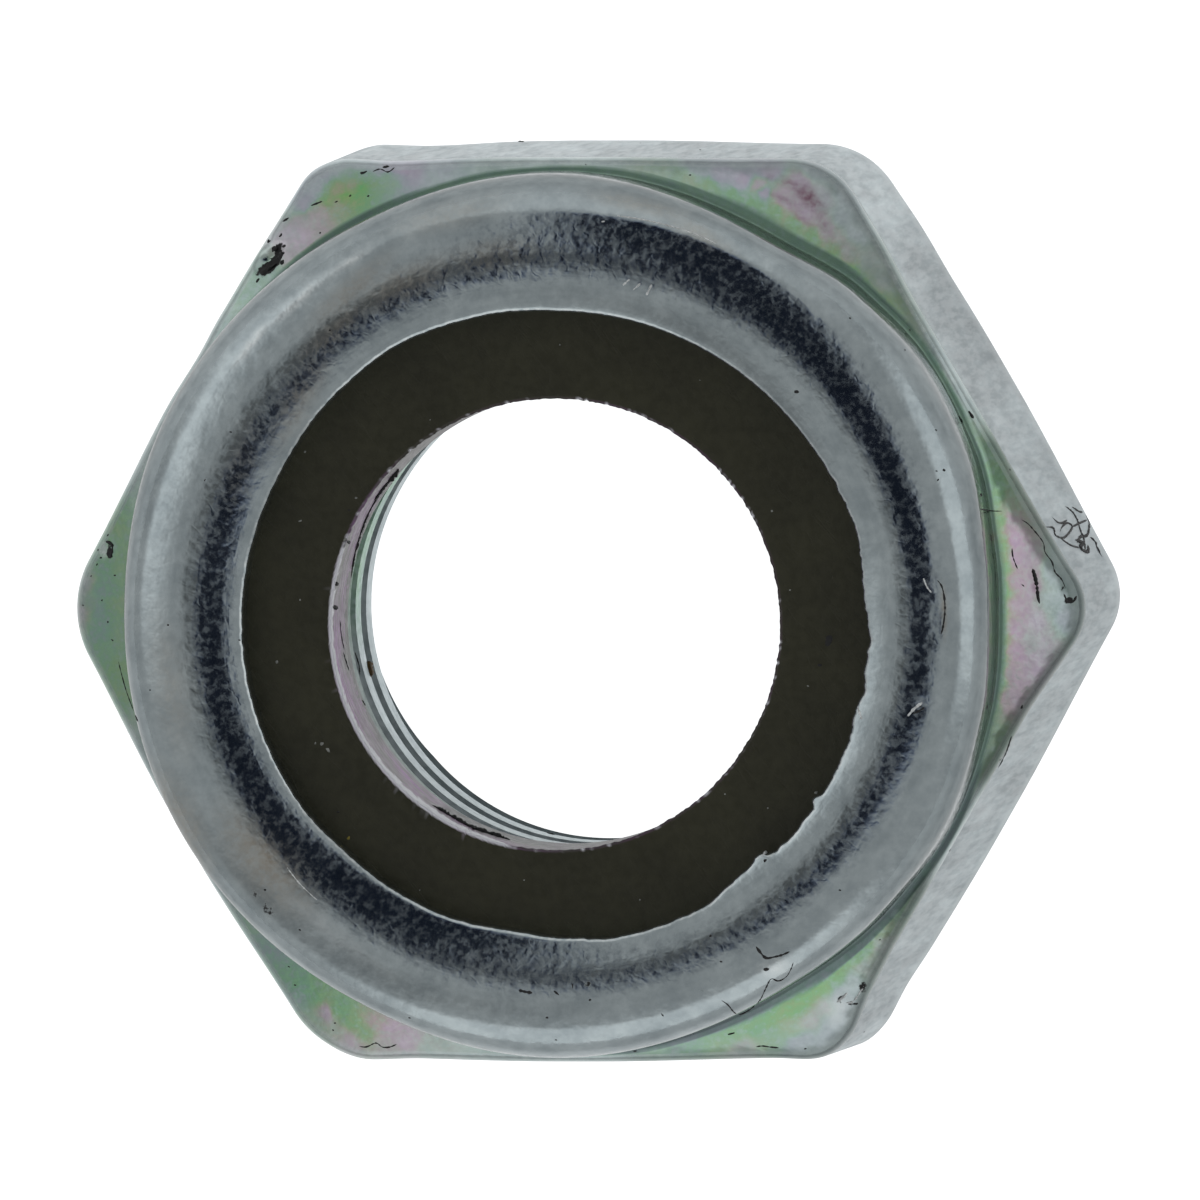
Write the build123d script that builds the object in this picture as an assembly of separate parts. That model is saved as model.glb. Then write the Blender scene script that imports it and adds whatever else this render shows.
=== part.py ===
from build123d import *
from math import radians, sqrt, tan
import os

# Nylon insert lock nut for an M8 coarse thread, in millimetres.
# The bearing face lies on Z = 0, the thread axis is Z, and two flats face +Y and -Y.

# Hexagon
across_flats = 13.0
corner_round = 1.0              # radius down each of the six upright corners
bearing_face_diameter = 11.9
bearing_chamfer_angle = 30.0    # degrees above the bearing face

# Shoulder, the cone that runs from the collar down to the corners
shoulder_height = 5.9           # where the cone would meet the collar wall
shoulder_angle = 32.0           # degrees below level
shoulder_edge_round = 0.25      # soft edge between the shoulder and the flats

# Collar, rolled in over the insert
nut_height = 8.0
collar_diameter = 12.3
collar_root_fillet = 0.35
collar_roll = 0.6               # outer radius where the wall turns inward
crest_diameter = 10.2           # circle of the collar's highest point
crest_curve = 2.2               # radius of the gentle dome between roll and lip
lip_opening = 8.95
lip_edge_round = 0.1

# Pocket inside the collar, and the insert that it holds
insert_depth = 0.6              # from the nut's top down to the insert
insert_thickness = 2.0
pocket_diameter = 10.9
pocket_bevel = 0.35             # where the wall turns over the insert, on both pieces
insert_hole = 6.4
insert_clearance = 0.03         # on the radius, between insert and pocket wall

# Bore at the minor diameter of the thread, with the countersink of the bearing side
thread_minor_diameter = 6.75
countersink_diameter = 8.4
countersink_angle = 90.0        # included angle

collar_radius = collar_diameter / 2
crest_radius = crest_diameter / 2
lip_radius = lip_opening / 2
pocket_radius = pocket_diameter / 2
bore_radius = thread_minor_diameter / 2
insert_top = nut_height - insert_depth
pocket_floor = insert_top - insert_thickness


# Height of the dome over the collar at a given radius.
def dome_height(radius):
    return nut_height - crest_curve + sqrt(crest_curve**2 - (radius - crest_radius)**2)


# The same section with one of its corners rounded.
def rounded(section, corner, radius):
    return fillet(section.vertices().sort_by_distance(corner)[0], radius)


# The same section with one of its corners cut off at 45 degrees.
def bevelled(section, corner, length):
    return chamfer(section.vertices().sort_by_distance(corner)[0], length)


# A half section drawn as (radius, height), turned about the thread axis.
def turned(section):
    return revolve(Plane.XZ * section, Axis.Z)


# The section that a lathe would leave, wider than the hexagon that trims it.
def body_section():
    reach = across_flats
    bearing_radius = bearing_face_diameter / 2
    chamfer_rise = (reach - bearing_radius) * tan(radians(bearing_chamfer_angle))
    shoulder_drop = (reach - collar_radius) * tan(radians(shoulder_angle))
    countersink_radius = countersink_diameter / 2
    countersink_depth = (countersink_radius - bore_radius) / tan(radians(countersink_angle / 2))

    shoulder_root = (collar_radius, shoulder_height)
    wall_top = (collar_radius, dome_height(collar_radius))
    lip_edge = (lip_radius, dome_height(lip_radius))
    pocket_corner = (pocket_radius, insert_top)
    hexagon_side = Polyline(
        (countersink_radius, 0),
        (bearing_radius, 0),
        (reach, chamfer_rise),
        (reach, shoulder_height - shoulder_drop),
        shoulder_root,
        wall_top,
    )
    dome = ThreePointArc(wall_top, (crest_radius, nut_height), lip_edge)
    inner_side = Polyline(
        lip_edge,
        (lip_radius, insert_top),
        pocket_corner,
        (pocket_radius, pocket_floor),
        (bore_radius, pocket_floor),
        (bore_radius, countersink_depth),
        (countersink_radius, 0),
    )
    section = make_face(hexagon_side + dome + inner_side)
    section = rounded(section, shoulder_root, collar_root_fillet)
    section = rounded(section, wall_top, collar_roll)
    section = rounded(section, lip_edge, lip_edge_round)
    return bevelled(section, pocket_corner, pocket_bevel)


# Hexagonal bar with its upright corners rounded.
def hexagon_bar():
    outline = RegularPolygon(across_flats / 2, 6, major_radius=False)
    outline = fillet(outline.vertices(), corner_round)
    return extrude(outline, nut_height)


# The steel body: bar and lathe work in one, then the soft edge round the shoulder.
def nut_body():
    lathe_work = turned(body_section())
    bar = hexagon_bar()
    body = lathe_work & bar
    trimmed_edges = new_edges(lathe_work, bar, combined=body)
    shoulder_edges = trimmed_edges.filter_by_position(Axis.Z, nut_height / 2, nut_height)
    return fillet(shoulder_edges, shoulder_edge_round)


# The insert: a plain ring whose top outer corner follows the pocket.
def nylon_insert():
    outer_radius = pocket_radius - insert_clearance
    top_corner = (outer_radius, insert_top)
    section = make_face(
        Polyline(
            (insert_hole / 2, pocket_floor),
            (outer_radius, pocket_floor),
            top_corner,
            (insert_hole / 2, insert_top),
            close=True,
        )
    )
    return turned(bevelled(section, top_corner, pocket_bevel))


os.makedirs("parts", exist_ok=True)
for name, solid in {"nut_body": nut_body(), "nylon_insert": nylon_insert()}.items():
    export_step(solid, f"parts/{name}.step")
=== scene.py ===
from math import asin, atan2, cos, floor, pi, radians, sin, sqrt, tan

import bmesh
import bpy
from mathutils import Matrix, Vector, kdtree, noise
from mathutils.bvhtree import BVHTree


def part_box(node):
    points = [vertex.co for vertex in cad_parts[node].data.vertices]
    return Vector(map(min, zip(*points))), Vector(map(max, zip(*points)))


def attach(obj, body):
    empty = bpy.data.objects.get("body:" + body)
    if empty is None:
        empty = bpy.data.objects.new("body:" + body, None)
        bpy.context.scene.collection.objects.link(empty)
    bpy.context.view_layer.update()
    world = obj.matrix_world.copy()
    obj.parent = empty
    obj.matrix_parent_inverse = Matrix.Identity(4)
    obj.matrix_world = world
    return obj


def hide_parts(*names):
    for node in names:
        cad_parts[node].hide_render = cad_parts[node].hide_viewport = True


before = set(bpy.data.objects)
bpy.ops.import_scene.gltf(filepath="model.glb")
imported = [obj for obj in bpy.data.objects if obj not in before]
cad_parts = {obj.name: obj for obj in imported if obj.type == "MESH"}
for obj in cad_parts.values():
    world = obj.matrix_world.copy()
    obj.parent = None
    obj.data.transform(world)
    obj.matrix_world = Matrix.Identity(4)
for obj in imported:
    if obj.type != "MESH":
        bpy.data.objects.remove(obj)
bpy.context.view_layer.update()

# Nylon insert lock nut, seen from the collar side.
# Lengths are in mm until a mesh is made. Pixels are those of the 1200 x 1200 picture.
mm = 0.001
steelNode = "nut_body"
nylonNode = "nylon_insert"
noise.seed_set(5)       # each run bends the film's edges alike

print("camera and light")

picture = {
    "size": 1200,                           # px, both ways
    "toCamera": (0.11648, 0.04419, 0.99221),
    "roll": 0.272,                          # degrees
    "aim": (0.1924, 0.0669, 4.0),           # the point in the middle of the picture
    "distance": 700.0,
    "lens": 1474.7,
    "sensor": 36.0,
    "clip": (0.1, 20),                      # metres
}


def newPiece(name, data):
    piece = bpy.data.objects.new(name, data)
    bpy.context.scene.collection.objects.link(piece)
    return piece


def cameraAxes():
    toCamera = Vector(picture["toCamera"]).normalized()
    lean = radians(picture["roll"])
    up = Vector((sin(lean), cos(lean), 0))
    up = (up - toCamera * up.dot(toCamera)).normalized()
    return up.cross(toCamera), up, toCamera


def eyeOf():
    return Vector(picture["aim"]) + cameraAxes()[2] * picture["distance"]


# the direction in which a pixel of the picture looks
def sightOf(pixelX, pixelY):
    right, up, toCamera = cameraAxes()
    half = picture["size"] / 2
    pixelsDeep = picture["lens"] / picture["sensor"] * picture["size"]
    return right * ((pixelX - half) / pixelsDeep) + up * ((half - pixelY) / pixelsDeep) - toCamera


# where a pixel meets the surface, and the way that the surface faces there
def placeOn(surface, pixelX, pixelY):
    place, facing, face, distance = surface.ray_cast(eyeOf() * mm, sightOf(pixelX, pixelY).normalized())
    if place is None:
        return None, None
    return place / mm, facing


def makeCamera():
    right, up, toCamera = cameraAxes()
    data = bpy.data.cameras.new("pictureCamera")
    data.sensor_width = picture["sensor"]
    data.lens = picture["lens"]
    data.clip_start, data.clip_end = picture["clip"]
    camera = newPiece("pictureCamera", data)
    turn = Matrix((right, up, toCamera)).transposed().to_4x4()
    camera.matrix_world = Matrix.Translation(eyeOf() * mm) @ turn
    bpy.context.scene.camera = camera


makeCamera()
bpy.context.scene.view_settings.view_transform = "Standard"
bpy.context.scene.view_settings.look = "None"


# small helpers for node trees
def addNode(tree, kind, **settings):
    node = tree.nodes.new(kind)
    for name, value in settings.items():
        setattr(node, name, value)
    return node


def feed(tree, socket, value):
    if isinstance(value, bpy.types.NodeSocket):
        tree.links.new(value, socket)
    elif value is not None:
        socket.default_value = value


def calc(tree, operation, first, second=None, third=None, clamp=False):
    node = addNode(tree, "ShaderNodeMath", operation=operation, use_clamp=clamp)
    for socket, value in zip(node.inputs, (first, second, third)):
        feed(tree, socket, value)
    return node.outputs[0]


def calcVector(tree, operation, first, second=None):
    node = addNode(tree, "ShaderNodeVectorMath", operation=operation)
    feed(tree, node.inputs[0], first)
    feed(tree, node.inputs[1], second)
    return node.outputs["Value"] if operation in ("LENGTH", "DOT_PRODUCT") else node.outputs[0]


def ramp(tree, value, low, high, newLow=0.0, newHigh=1.0, smooth=True):
    node = addNode(tree, "ShaderNodeMapRange", clamp=True)
    if smooth:
        node.interpolation_type = "SMOOTHSTEP"
    for socket, item in zip(node.inputs, (value, low, high, newLow, newHigh)):
        feed(tree, socket, item)
    return node.outputs[0]


def blendColour(tree, amount, under, over, blendType="MIX"):
    node = addNode(tree, "ShaderNodeMix", data_type="RGBA", blend_type=blendType)
    feed(tree, node.inputs[0], amount)
    feed(tree, node.inputs[6], under)
    feed(tree, node.inputs[7], over)
    return node.outputs[2]


def newGroup(name, inputs, outputs):
    tree = bpy.data.node_groups.new(name, "ShaderNodeTree")
    for label, kind, value in inputs:
        socket = tree.interface.new_socket(label, in_out="INPUT", socket_type=kind)
        if value is not None:
            socket.default_value = value
    for label, kind in outputs:
        tree.interface.new_socket(label, in_out="OUTPUT", socket_type=kind)
    return tree, addNode(tree, "NodeGroupInput").outputs, addNode(tree, "NodeGroupOutput").inputs


def useGroup(tree, group, **values):
    node = addNode(tree, "ShaderNodeGroup", node_tree=group)
    for name, value in values.items():
        feed(tree, node.inputs[name], value)
    return node.outputs


# the sum of values, each times its weight
def weighted(tree, *terms, start=0.0):
    total = start
    for value, weight in terms:
        total = calc(tree, "MULTIPLY_ADD", value, weight, total)
    return total


def separate(tree, vector):
    node = addNode(tree, "ShaderNodeSeparateXYZ")
    feed(tree, node.inputs[0], vector)
    return node.outputs


def combine(tree, *parts):
    node = addNode(tree, "ShaderNodeCombineXYZ")
    for socket, value in zip(node.inputs, parts):
        feed(tree, socket, value)
    return node.outputs[0]


def scaled(tree, vector, factor):
    node = addNode(tree, "ShaderNodeVectorMath", operation="SCALE")
    feed(tree, node.inputs[0], vector)
    feed(tree, node.inputs["Scale"], factor)
    return node.outputs[0]


# a value that the mesh carries, in Geometry Nodes
def stored(tree, name, kind="FLOAT"):
    node = addNode(tree, "GeometryNodeInputNamedAttribute", data_type=kind)
    node.inputs["Name"].default_value = name
    return node.outputs["Attribute"]


# starts a Geometry Nodes tree with the named inputs between its geometry and its material
def geometryTree(name, inputs):
    tree = bpy.data.node_groups.new(name, "GeometryNodeTree")
    sockets = [("Geometry", "NodeSocketGeometry"), *inputs, ("Material", "NodeSocketMaterial")]
    for label, kind in sockets:
        tree.interface.new_socket(label, in_out="INPUT", socket_type=kind)
    tree.interface.new_socket("Geometry", in_out="OUTPUT", socket_type="NodeSocketGeometry")
    return tree, addNode(tree, "NodeGroupInput").outputs, addNode(tree, "NodeGroupOutput").inputs


# ends such a tree: all is made real and gets its material
def endTree(tree, geometry, material, result):
    real = addNode(tree, "GeometryNodeRealizeInstances")
    feed(tree, real.inputs[0], geometry)
    paint = addNode(tree, "GeometryNodeSetMaterial")
    feed(tree, paint.inputs["Geometry"], real.outputs[0])
    feed(tree, paint.inputs["Material"], material)
    feed(tree, result[0], paint.outputs[0])


# The light is a soft grey tent with brighter panels round its sides and a dark gap overhead,
# where the camera looks through. The crown of the collar mirrors the gap as a dark band.
# Centres and half sizes lie on a unit dome seen from above: across, up.
studio = {
    "tent": 0.40,
    "tint": (0.985, 0.995, 1.0, 1),
    "gapTint": (0.70, 0.90, 1.5, 1),
    "panels": (
        {"centre": (-0.68, 0.31), "half": (0.28, 0.52), "soft": 0.7, "light": 0.47},    # left
        {"centre": (0.95, 0.23), "half": (0.27, 0.62), "soft": 0.6, "light": 0.43},     # right
        {"centre": (0.05, -0.95), "half": (0.75, 0.36), "soft": 0.5, "light": 0.44},    # bottom
        {"centre": (0.0, 0.86), "half": (0.75, 0.24), "soft": 0.7, "light": 0.24},      # top
        {"centre": (-0.42, -0.42), "half": (0.42, 0.16), "soft": 0.8, "light": -0.13},
    ),
    "gaps": (
        {"centre": (0.07, 0.21), "half": (0.205, 0.44), "soft": 0.26, "dark": 1.0},
        {"centre": (-0.175, 0.02), "half": (0.14, 0.17), "soft": 0.85, "dark": 0.76},
        {"centre": (0.01, -0.16), "half": (0.13, 0.12), "soft": 0.9, "dark": 0.5},
    ),
    "gapLight": 0.016,
}


def panelGroup():
    tree, given, result = newGroup(
        "softPanel",
        [
            ("Direction", "NodeSocketVector", None),
            ("Centre", "NodeSocketVector", (0, 0, 0)),
            ("Half", "NodeSocketVector", (1, 1, 1)),
            ("Soft", "NodeSocketFloat", 0.5),
        ],
        [("Mask", "NodeSocketFloat")],
    )
    offset = calcVector(tree, "SUBTRACT", given["Direction"], given["Centre"])
    inPanel = calcVector(tree, "ABSOLUTE", calcVector(tree, "DIVIDE", offset, given["Half"]))
    parts = separate(tree, inPanel)
    inner = calc(tree, "SUBTRACT", 1.0, given["Soft"])
    across = ramp(tree, parts[0], inner, 1.0, 1.0, 0.0)
    upward = ramp(tree, parts[1], inner, 1.0, 1.0, 0.0)
    feed(tree, result[0], calc(tree, "MULTIPLY", across, upward))
    return tree


def makeStudio():
    world = bpy.data.worlds.new("studio")
    bpy.context.scene.world = world
    world.use_nodes = True
    tree = world.node_tree
    tree.nodes.clear()
    softPanel = panelGroup()
    direction = addNode(tree, "ShaderNodeTexCoord").outputs["Generated"]

    def maskOf(panel):
        values = {"Centre": (*panel["centre"], 0), "Half": (*panel["half"], 1), "Soft": panel["soft"]}
        return useGroup(tree, softPanel, Direction=direction, **values)[0]

    level = studio["tent"]
    for panel in studio["panels"]:
        level = calc(tree, "MULTIPLY_ADD", maskOf(panel), panel["light"], level)
    for gap in studio["gaps"]:
        level = calc(tree, "MULTIPLY", level, calc(tree, "MULTIPLY_ADD", maskOf(gap), -gap["dark"], 1.0))
    level = calc(tree, "ADD", level, studio["gapLight"])
    background = addNode(tree, "ShaderNodeBackground")
    inGap = maskOf(studio["gaps"][0])
    feed(tree, background.inputs["Color"], blendColour(tree, inGap, studio["tint"], studio["gapTint"]))
    feed(tree, background.inputs["Strength"], level)
    output = addNode(tree, "ShaderNodeOutputWorld")
    tree.links.new(background.outputs[0], output.inputs["Surface"])


# The card under the nut is seen as white. It throws light back at the flanks and up the bore:
# each row has a near and a far distance in metres and the light at both.
card = {
    "reach": 3.0,
    "drop": 0.00002,
    "colour": (0.8, 0.8, 0.8, 1),
    "roughness": 0.8,
    "shine": 0.1,
    "pool": (0.009, 0.024, 0.46, 0.12),
    "behind": (0.0045, 0.0068, 0.0, 0.3),       # how much brighter the pool is behind the nut
    "upTheBore": (0.0030, 0.0041, 0.5, 0.0),
}


def makeFloor():
    reach = card["reach"]
    mesh = bpy.data.meshes.new("floor")
    corners = [(-reach, -reach, 0), (reach, -reach, 0), (reach, reach, 0), (-reach, reach, 0)]
    mesh.from_pydata(corners, [], [(0, 1, 2, 3)])
    floorPiece = newPiece("floor", mesh)
    floorPiece.location.z = -card["drop"]
    material = bpy.data.materials.new("paleFloor")
    material.use_nodes = True
    tree = material.node_tree
    shader = tree.nodes["Principled BSDF"]
    shader.inputs["Base Color"].default_value = card["colour"]
    shader.inputs["Roughness"].default_value = card["roughness"]
    shader.inputs["Specular IOR Level"].default_value = card["shine"]
    shader.inputs["Emission Color"].default_value = (1, 1, 1, 1)
    place = addNode(tree, "ShaderNodeTexCoord").outputs["Object"]
    away = calcVector(tree, "LENGTH", place)
    behind = ramp(tree, separate(tree, place)[1], *card["behind"])
    pool = calc(tree, "MULTIPLY", ramp(tree, away, *card["pool"]), calc(tree, "ADD", behind, 1.0))
    pool = calc(tree, "ADD", pool, ramp(tree, away, *card["upTheBore"]))
    seen = addNode(tree, "ShaderNodeLightPath").outputs["Is Camera Ray"]
    feed(tree, shader.inputs["Emission Strength"], calc(tree, "MAXIMUM", pool, seen))
    mesh.materials.append(material)


makeStudio()
makeFloor()

print("steel body")

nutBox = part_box(steelNode)
nut = {
    "height": nutBox[1].z / mm - 0.02,          # a little low, so that the marks on it stay in its box
    "flatRadius": nutBox[1].y / mm - 0.01,
    "flatSwell": 0.04,                  # the flats stand out a little in their middles
    "swellEnds": (2.95, 0.4),           # distances from a flat's middle where that starts and ends
    "flatOffsets": (0.0, 0.0, 0.03, 0.03, 0.0, 0.0),        # the flat at 30 degrees first
    "cornerRounds": (0.92, 1.15, 0.85, 1.4, 1.35, 0.9),     # the corner on +X first
    "lipGrain": (30, 75),               # how often the lip's ragged edge turns
    "bearingRadius": 5.95,
    "bearingSlope": 30,
    "lowerEdge": 0.06,                  # how far the soft edge over the bearing chamfer reaches
    "shoulderHeight": 5.85,
    "shoulderSlope": 32,
    "shoulderRound": 0.25,
    "edgeDrop": 0.2,                    # how far the soft edge reaches down the flank
    "collarRadius": 6.15,
    "collarShift": (-0.07, -0.05),      # the collar was pressed a little off the hexagon's centre
    "skirt": (6.2, 7.3),                # height of the edge under the collar, beside flats and corners
    "undercut": 0.035,                  # how far the wall steps in below that edge
    "rootRound": 0.3,
    "longestBend": 0.45,                # the part of the shoulder that a bend at its end may take up
    "longestRise": 0.6,                 # the same for the groove's wall
    "rollStart": 5.82,
    "rollStep": 7,                      # degrees, the crisp line where the roll leaves the dome
    "crestRadius": 5.1,
    "crestCurve": 2.2,
    "lipRadius": 4.47,
    "lipShift": (0.0, -0.097),
    "lipRound": 0.09,
    "pocketRadius": 5.45,
    "pocketBevel": 0.35,
    "pocketTop": 7.4,
    "pocketFloor": 5.4,
    "seatGap": 0.002,
    "boreRadius": 3.375,
    "boreShift": (-0.04, -0.1),
    "sinkRadius": 4.2,
    "sinkDepth": 0.825,
    "angles": 720,
}

# how many points each stretch of the section has, from the lip outwards and round to the lip
stretches = {
    "lipWall": 3,
    "lipEdge": 5,
    "dome": 26,
    "roll": 10,
    "wall": 4,
    "groove": 3,
    "root": 5,
    "shoulder": 14,
    "shoulderEdge": 6,
    "flank": 7,
    "lowerEdge": 3,
    "bearingChamfer": 3,
    "bearingFace": 3,
    "bore": 0,          # follows from the thread
    "pocketFloor": 2,
    "pocketWall": 2,
    "pocketBevel": 1,
    "underLip": 2,
}

thread = {
    "pitch": 1.25,
    "depth": 0.62,
    "crestFlat": 0.5,           # parts of the pitch
    "rootFlat": 0.08,
    "crestHeight": 1.62,        # a crest passes here on the left side of the bore
    "fadeHeight": 0.35,         # the groove dies away below the pocket
}
# where the section of one turn has its points, in parts of the pitch from a crest's middle
turnStops = (0, 0.25, 0.36, 0.46, 0.54, 0.64, 0.75)
weldDistance = 1e-7         # metres
firstTurn = -3
lastTurn = 5
stretches["bore"] = (lastTurn - firstTurn) * len(turnStops)

# What this one nut went through, by degrees round the axis from +X.
# how far the lip's edge lies inside (-) or outside (+) its circle
lipWear = (
    (0, -0.03), (5, -0.07), (12, -0.03), (17, 0.01), (26, -0.02), (40, -0.045), (60, -0.05),
    (88, -0.055), (102, -0.01), (120, 0.045), (133, 0.015), (152, -0.03), (180, -0.02), (215, -0.025),
    (228, -0.065), (248, -0.045), (262, -0.08), (272, -0.025), (281, 0.045), (298, 0.045), (304, -0.04),
    (309, -0.08), (311.6, -0.12), (313, -0.01), (317, 0.03), (324, 0.02), (326, -0.05), (328, 0.02),
    (338, 0.01), (344, -0.035), (348, 0.02), (352, -0.025), (357, 0.01), (360, -0.03),
)
# how ragged the lip is
lipRaggedness = (
    (0, 0.025), (22, 0.02), (40, 0.007), (165, 0.01), (300, 0.01), (312, 0.025), (326, 0.025),
    (338, 0.02), (346, 0.025), (360, 0.025),
)
# small bends of the hexagon's sides
sideWear = (
    (0, 0.0), (42, 0.0), (50, 0.03), (57, 0.0), (102, 0.0), (112, -0.03), (118, 0.0), (122, 0.035),
    (131, 0.045), (140, 0.015), (146, -0.015), (153, 0.015), (165, 0.0), (239, 0.0), (245, 0.035),
    (251, 0.0), (293, 0.0), (299, 0.04), (303, 0.01), (307, -0.02), (312, 0.0), (360, 0.0),
)
# how much slimmer the hexagon is at its shoulder
shoulderTaper = ((0, 0.055), (303, 0.055), (314, 0.14), (346, 0.14), (357, 0.055), (360, 0.055))
# where the pressing left the collar fuller (+) or slimmer (-)
collarSwell = (
    (0, 0.04), (8, 0.06), (22, 0.16), (36, 0.19), (47, 0.14), (60, 0.02), (92, 0.16), (120, 0.11),
    (150, 0.10), (180, -0.01), (210, 0.0), (240, -0.02), (270, 0.09), (300, 0.02), (318, 0.08),
    (331, 0.13), (346, 0.08), (360, 0.04),
)
# how far the groove's painted shade runs out from the collar's foot, in mm
grooveShadeReach = (
    (0, 0.045), (25, 0.03), (45, 0.08), (62, 0.15), (78, 0.09), (92, 0.04), (120, 0.11), (150, 0.03),
    (180, 0.04), (210, 0.03), (240, 0.06), (270, 0.03), (282, 0.09), (302, 0.15), (322, 0.08),
    (340, 0.03), (360, 0.045),
)
# thickness of the film in that groove, and its strength there and on the wall above
grooveFilm = (
    (0, 0.5), (100, 0.5), (140, 0.45), (240, 0.44), (280, 0.3), (330, 0.33), (350, 0.47), (360, 0.5),
)
grooveStrength = 0.55
grooveShadeSoft = 0.03           # mm
shadedBoreHeights = (3.5, 3.75)      # the top of the bore, under the ring, gets the groove's painted shade above these heights
wallFilm = (
    (0, 0.55), (60, 0.55), (110, 0.35), (140, 0.25), (240, 0.25), (280, 0.45), (300, 0.55), (360, 0.55),
)
# how strong the painted shade is along the hexagon's edge
edgeShadeByAngle = (
    (0, 1.0), (28, 1.0), (38, 0.4), (65, 0.45), (95, 0.25), (110, 0.0), (250, 0.0), (275, 0.4),
    (300, 0.8), (335, 1.0), (360, 1.0),
)
# painted shade on the collar's upright wall, by degrees, and a painted highlight along its lower edge,
# where that shade is lifted
wallShadeByAngle = (
    (0, 0.81), (50, 0.81), (75, 0.95), (100, 1.0), (150, 1.0), (190, 0.92), (205, 1.0), (218, 0.95),
    (235, 0.6), (250, 0.55), (270, 0.2), (290, 0.35), (310, 0.5), (330, 0.8), (360, 0.81),
)
skirtHighlight = ((0, 1.0), (38, 1.0), (58, 0.0), (285, 0.0), (305, 1.0), (360, 1.0))
highlightPart = 0.9             # the part of its painted shade that the lower edge loses, as a painted highlight
rollShadeSpan = (0.3, 0.85)      # the painted shade grows over the roll between these parts of its way


def smoothStep(low, high, value):
    part = min(1.0, max(0.0, (value - low) / (high - low)))
    return part * part * (3 - 2 * part)


# the value at an angle, from a short list of (degrees, value)
def roundTheCircle(stops, angle):
    turn = (angle * 180 / pi) % 360
    for (start, low), (end, high) in zip(stops, stops[1:]):
        if start <= turn <= end:
            return low + (high - low) * smoothStep(start, end, turn)
    return stops[-1][1]


def mixed(first, second, part):
    return tuple(a + (b - a) * part for a, b in zip(first, second))


# distance from the axis to the hexagon's side, with each corner rounded by its own radius
def hexagonRadius(angle):
    corner = round(angle / (pi / 3))
    off = abs(angle - corner * pi / 3)
    rounding = nut["cornerRounds"][corner % 6]
    cornerFlat = nut["flatRadius"] - nut["flatSwell"]
    centre = (cornerFlat - rounding) / cos(pi / 6)
    wear = roundTheCircle(sideWear, angle)
    if off < atan2(rounding / 2, centre + rounding * cos(pi / 6)):
        return centre * cos(off) + sqrt(rounding ** 2 - (centre * sin(off)) ** 2) + wear
    fromMiddle = cornerFlat * tan(pi / 6 - off)
    offset = nut["flatOffsets"][floor(angle / (pi / 3)) % 6]
    flat = cornerFlat + (nut["flatSwell"] + offset) * smoothStep(*nut["swellEnds"], fromMiddle)
    return flat / cos(pi / 6 - off) + wear


# height of the edge under the collar: low beside the flats, high beside the corners
def skirtHeight(angle):
    low, high = nut["skirt"]
    return low + (high - low) * (1 + cos(6 * angle)) / 2


def domeHeight(radius):
    curve = nut["crestCurve"]
    return nut["height"] - curve + sqrt(curve ** 2 - (radius - nut["crestRadius"]) ** 2)


def lineOf(start, end, count):
    return [start + (end - start) * (i / count) for i in range(count)]


# a round corner from start to end that would meet at the corner point
def bendOf(start, corner, end, count):
    points = []
    for i in range(count):
        t = i / count
        points.append(start * (1 - t) ** 2 + corner * (2 * t * (1 - t)) + end * t ** 2)
    return points


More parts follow.
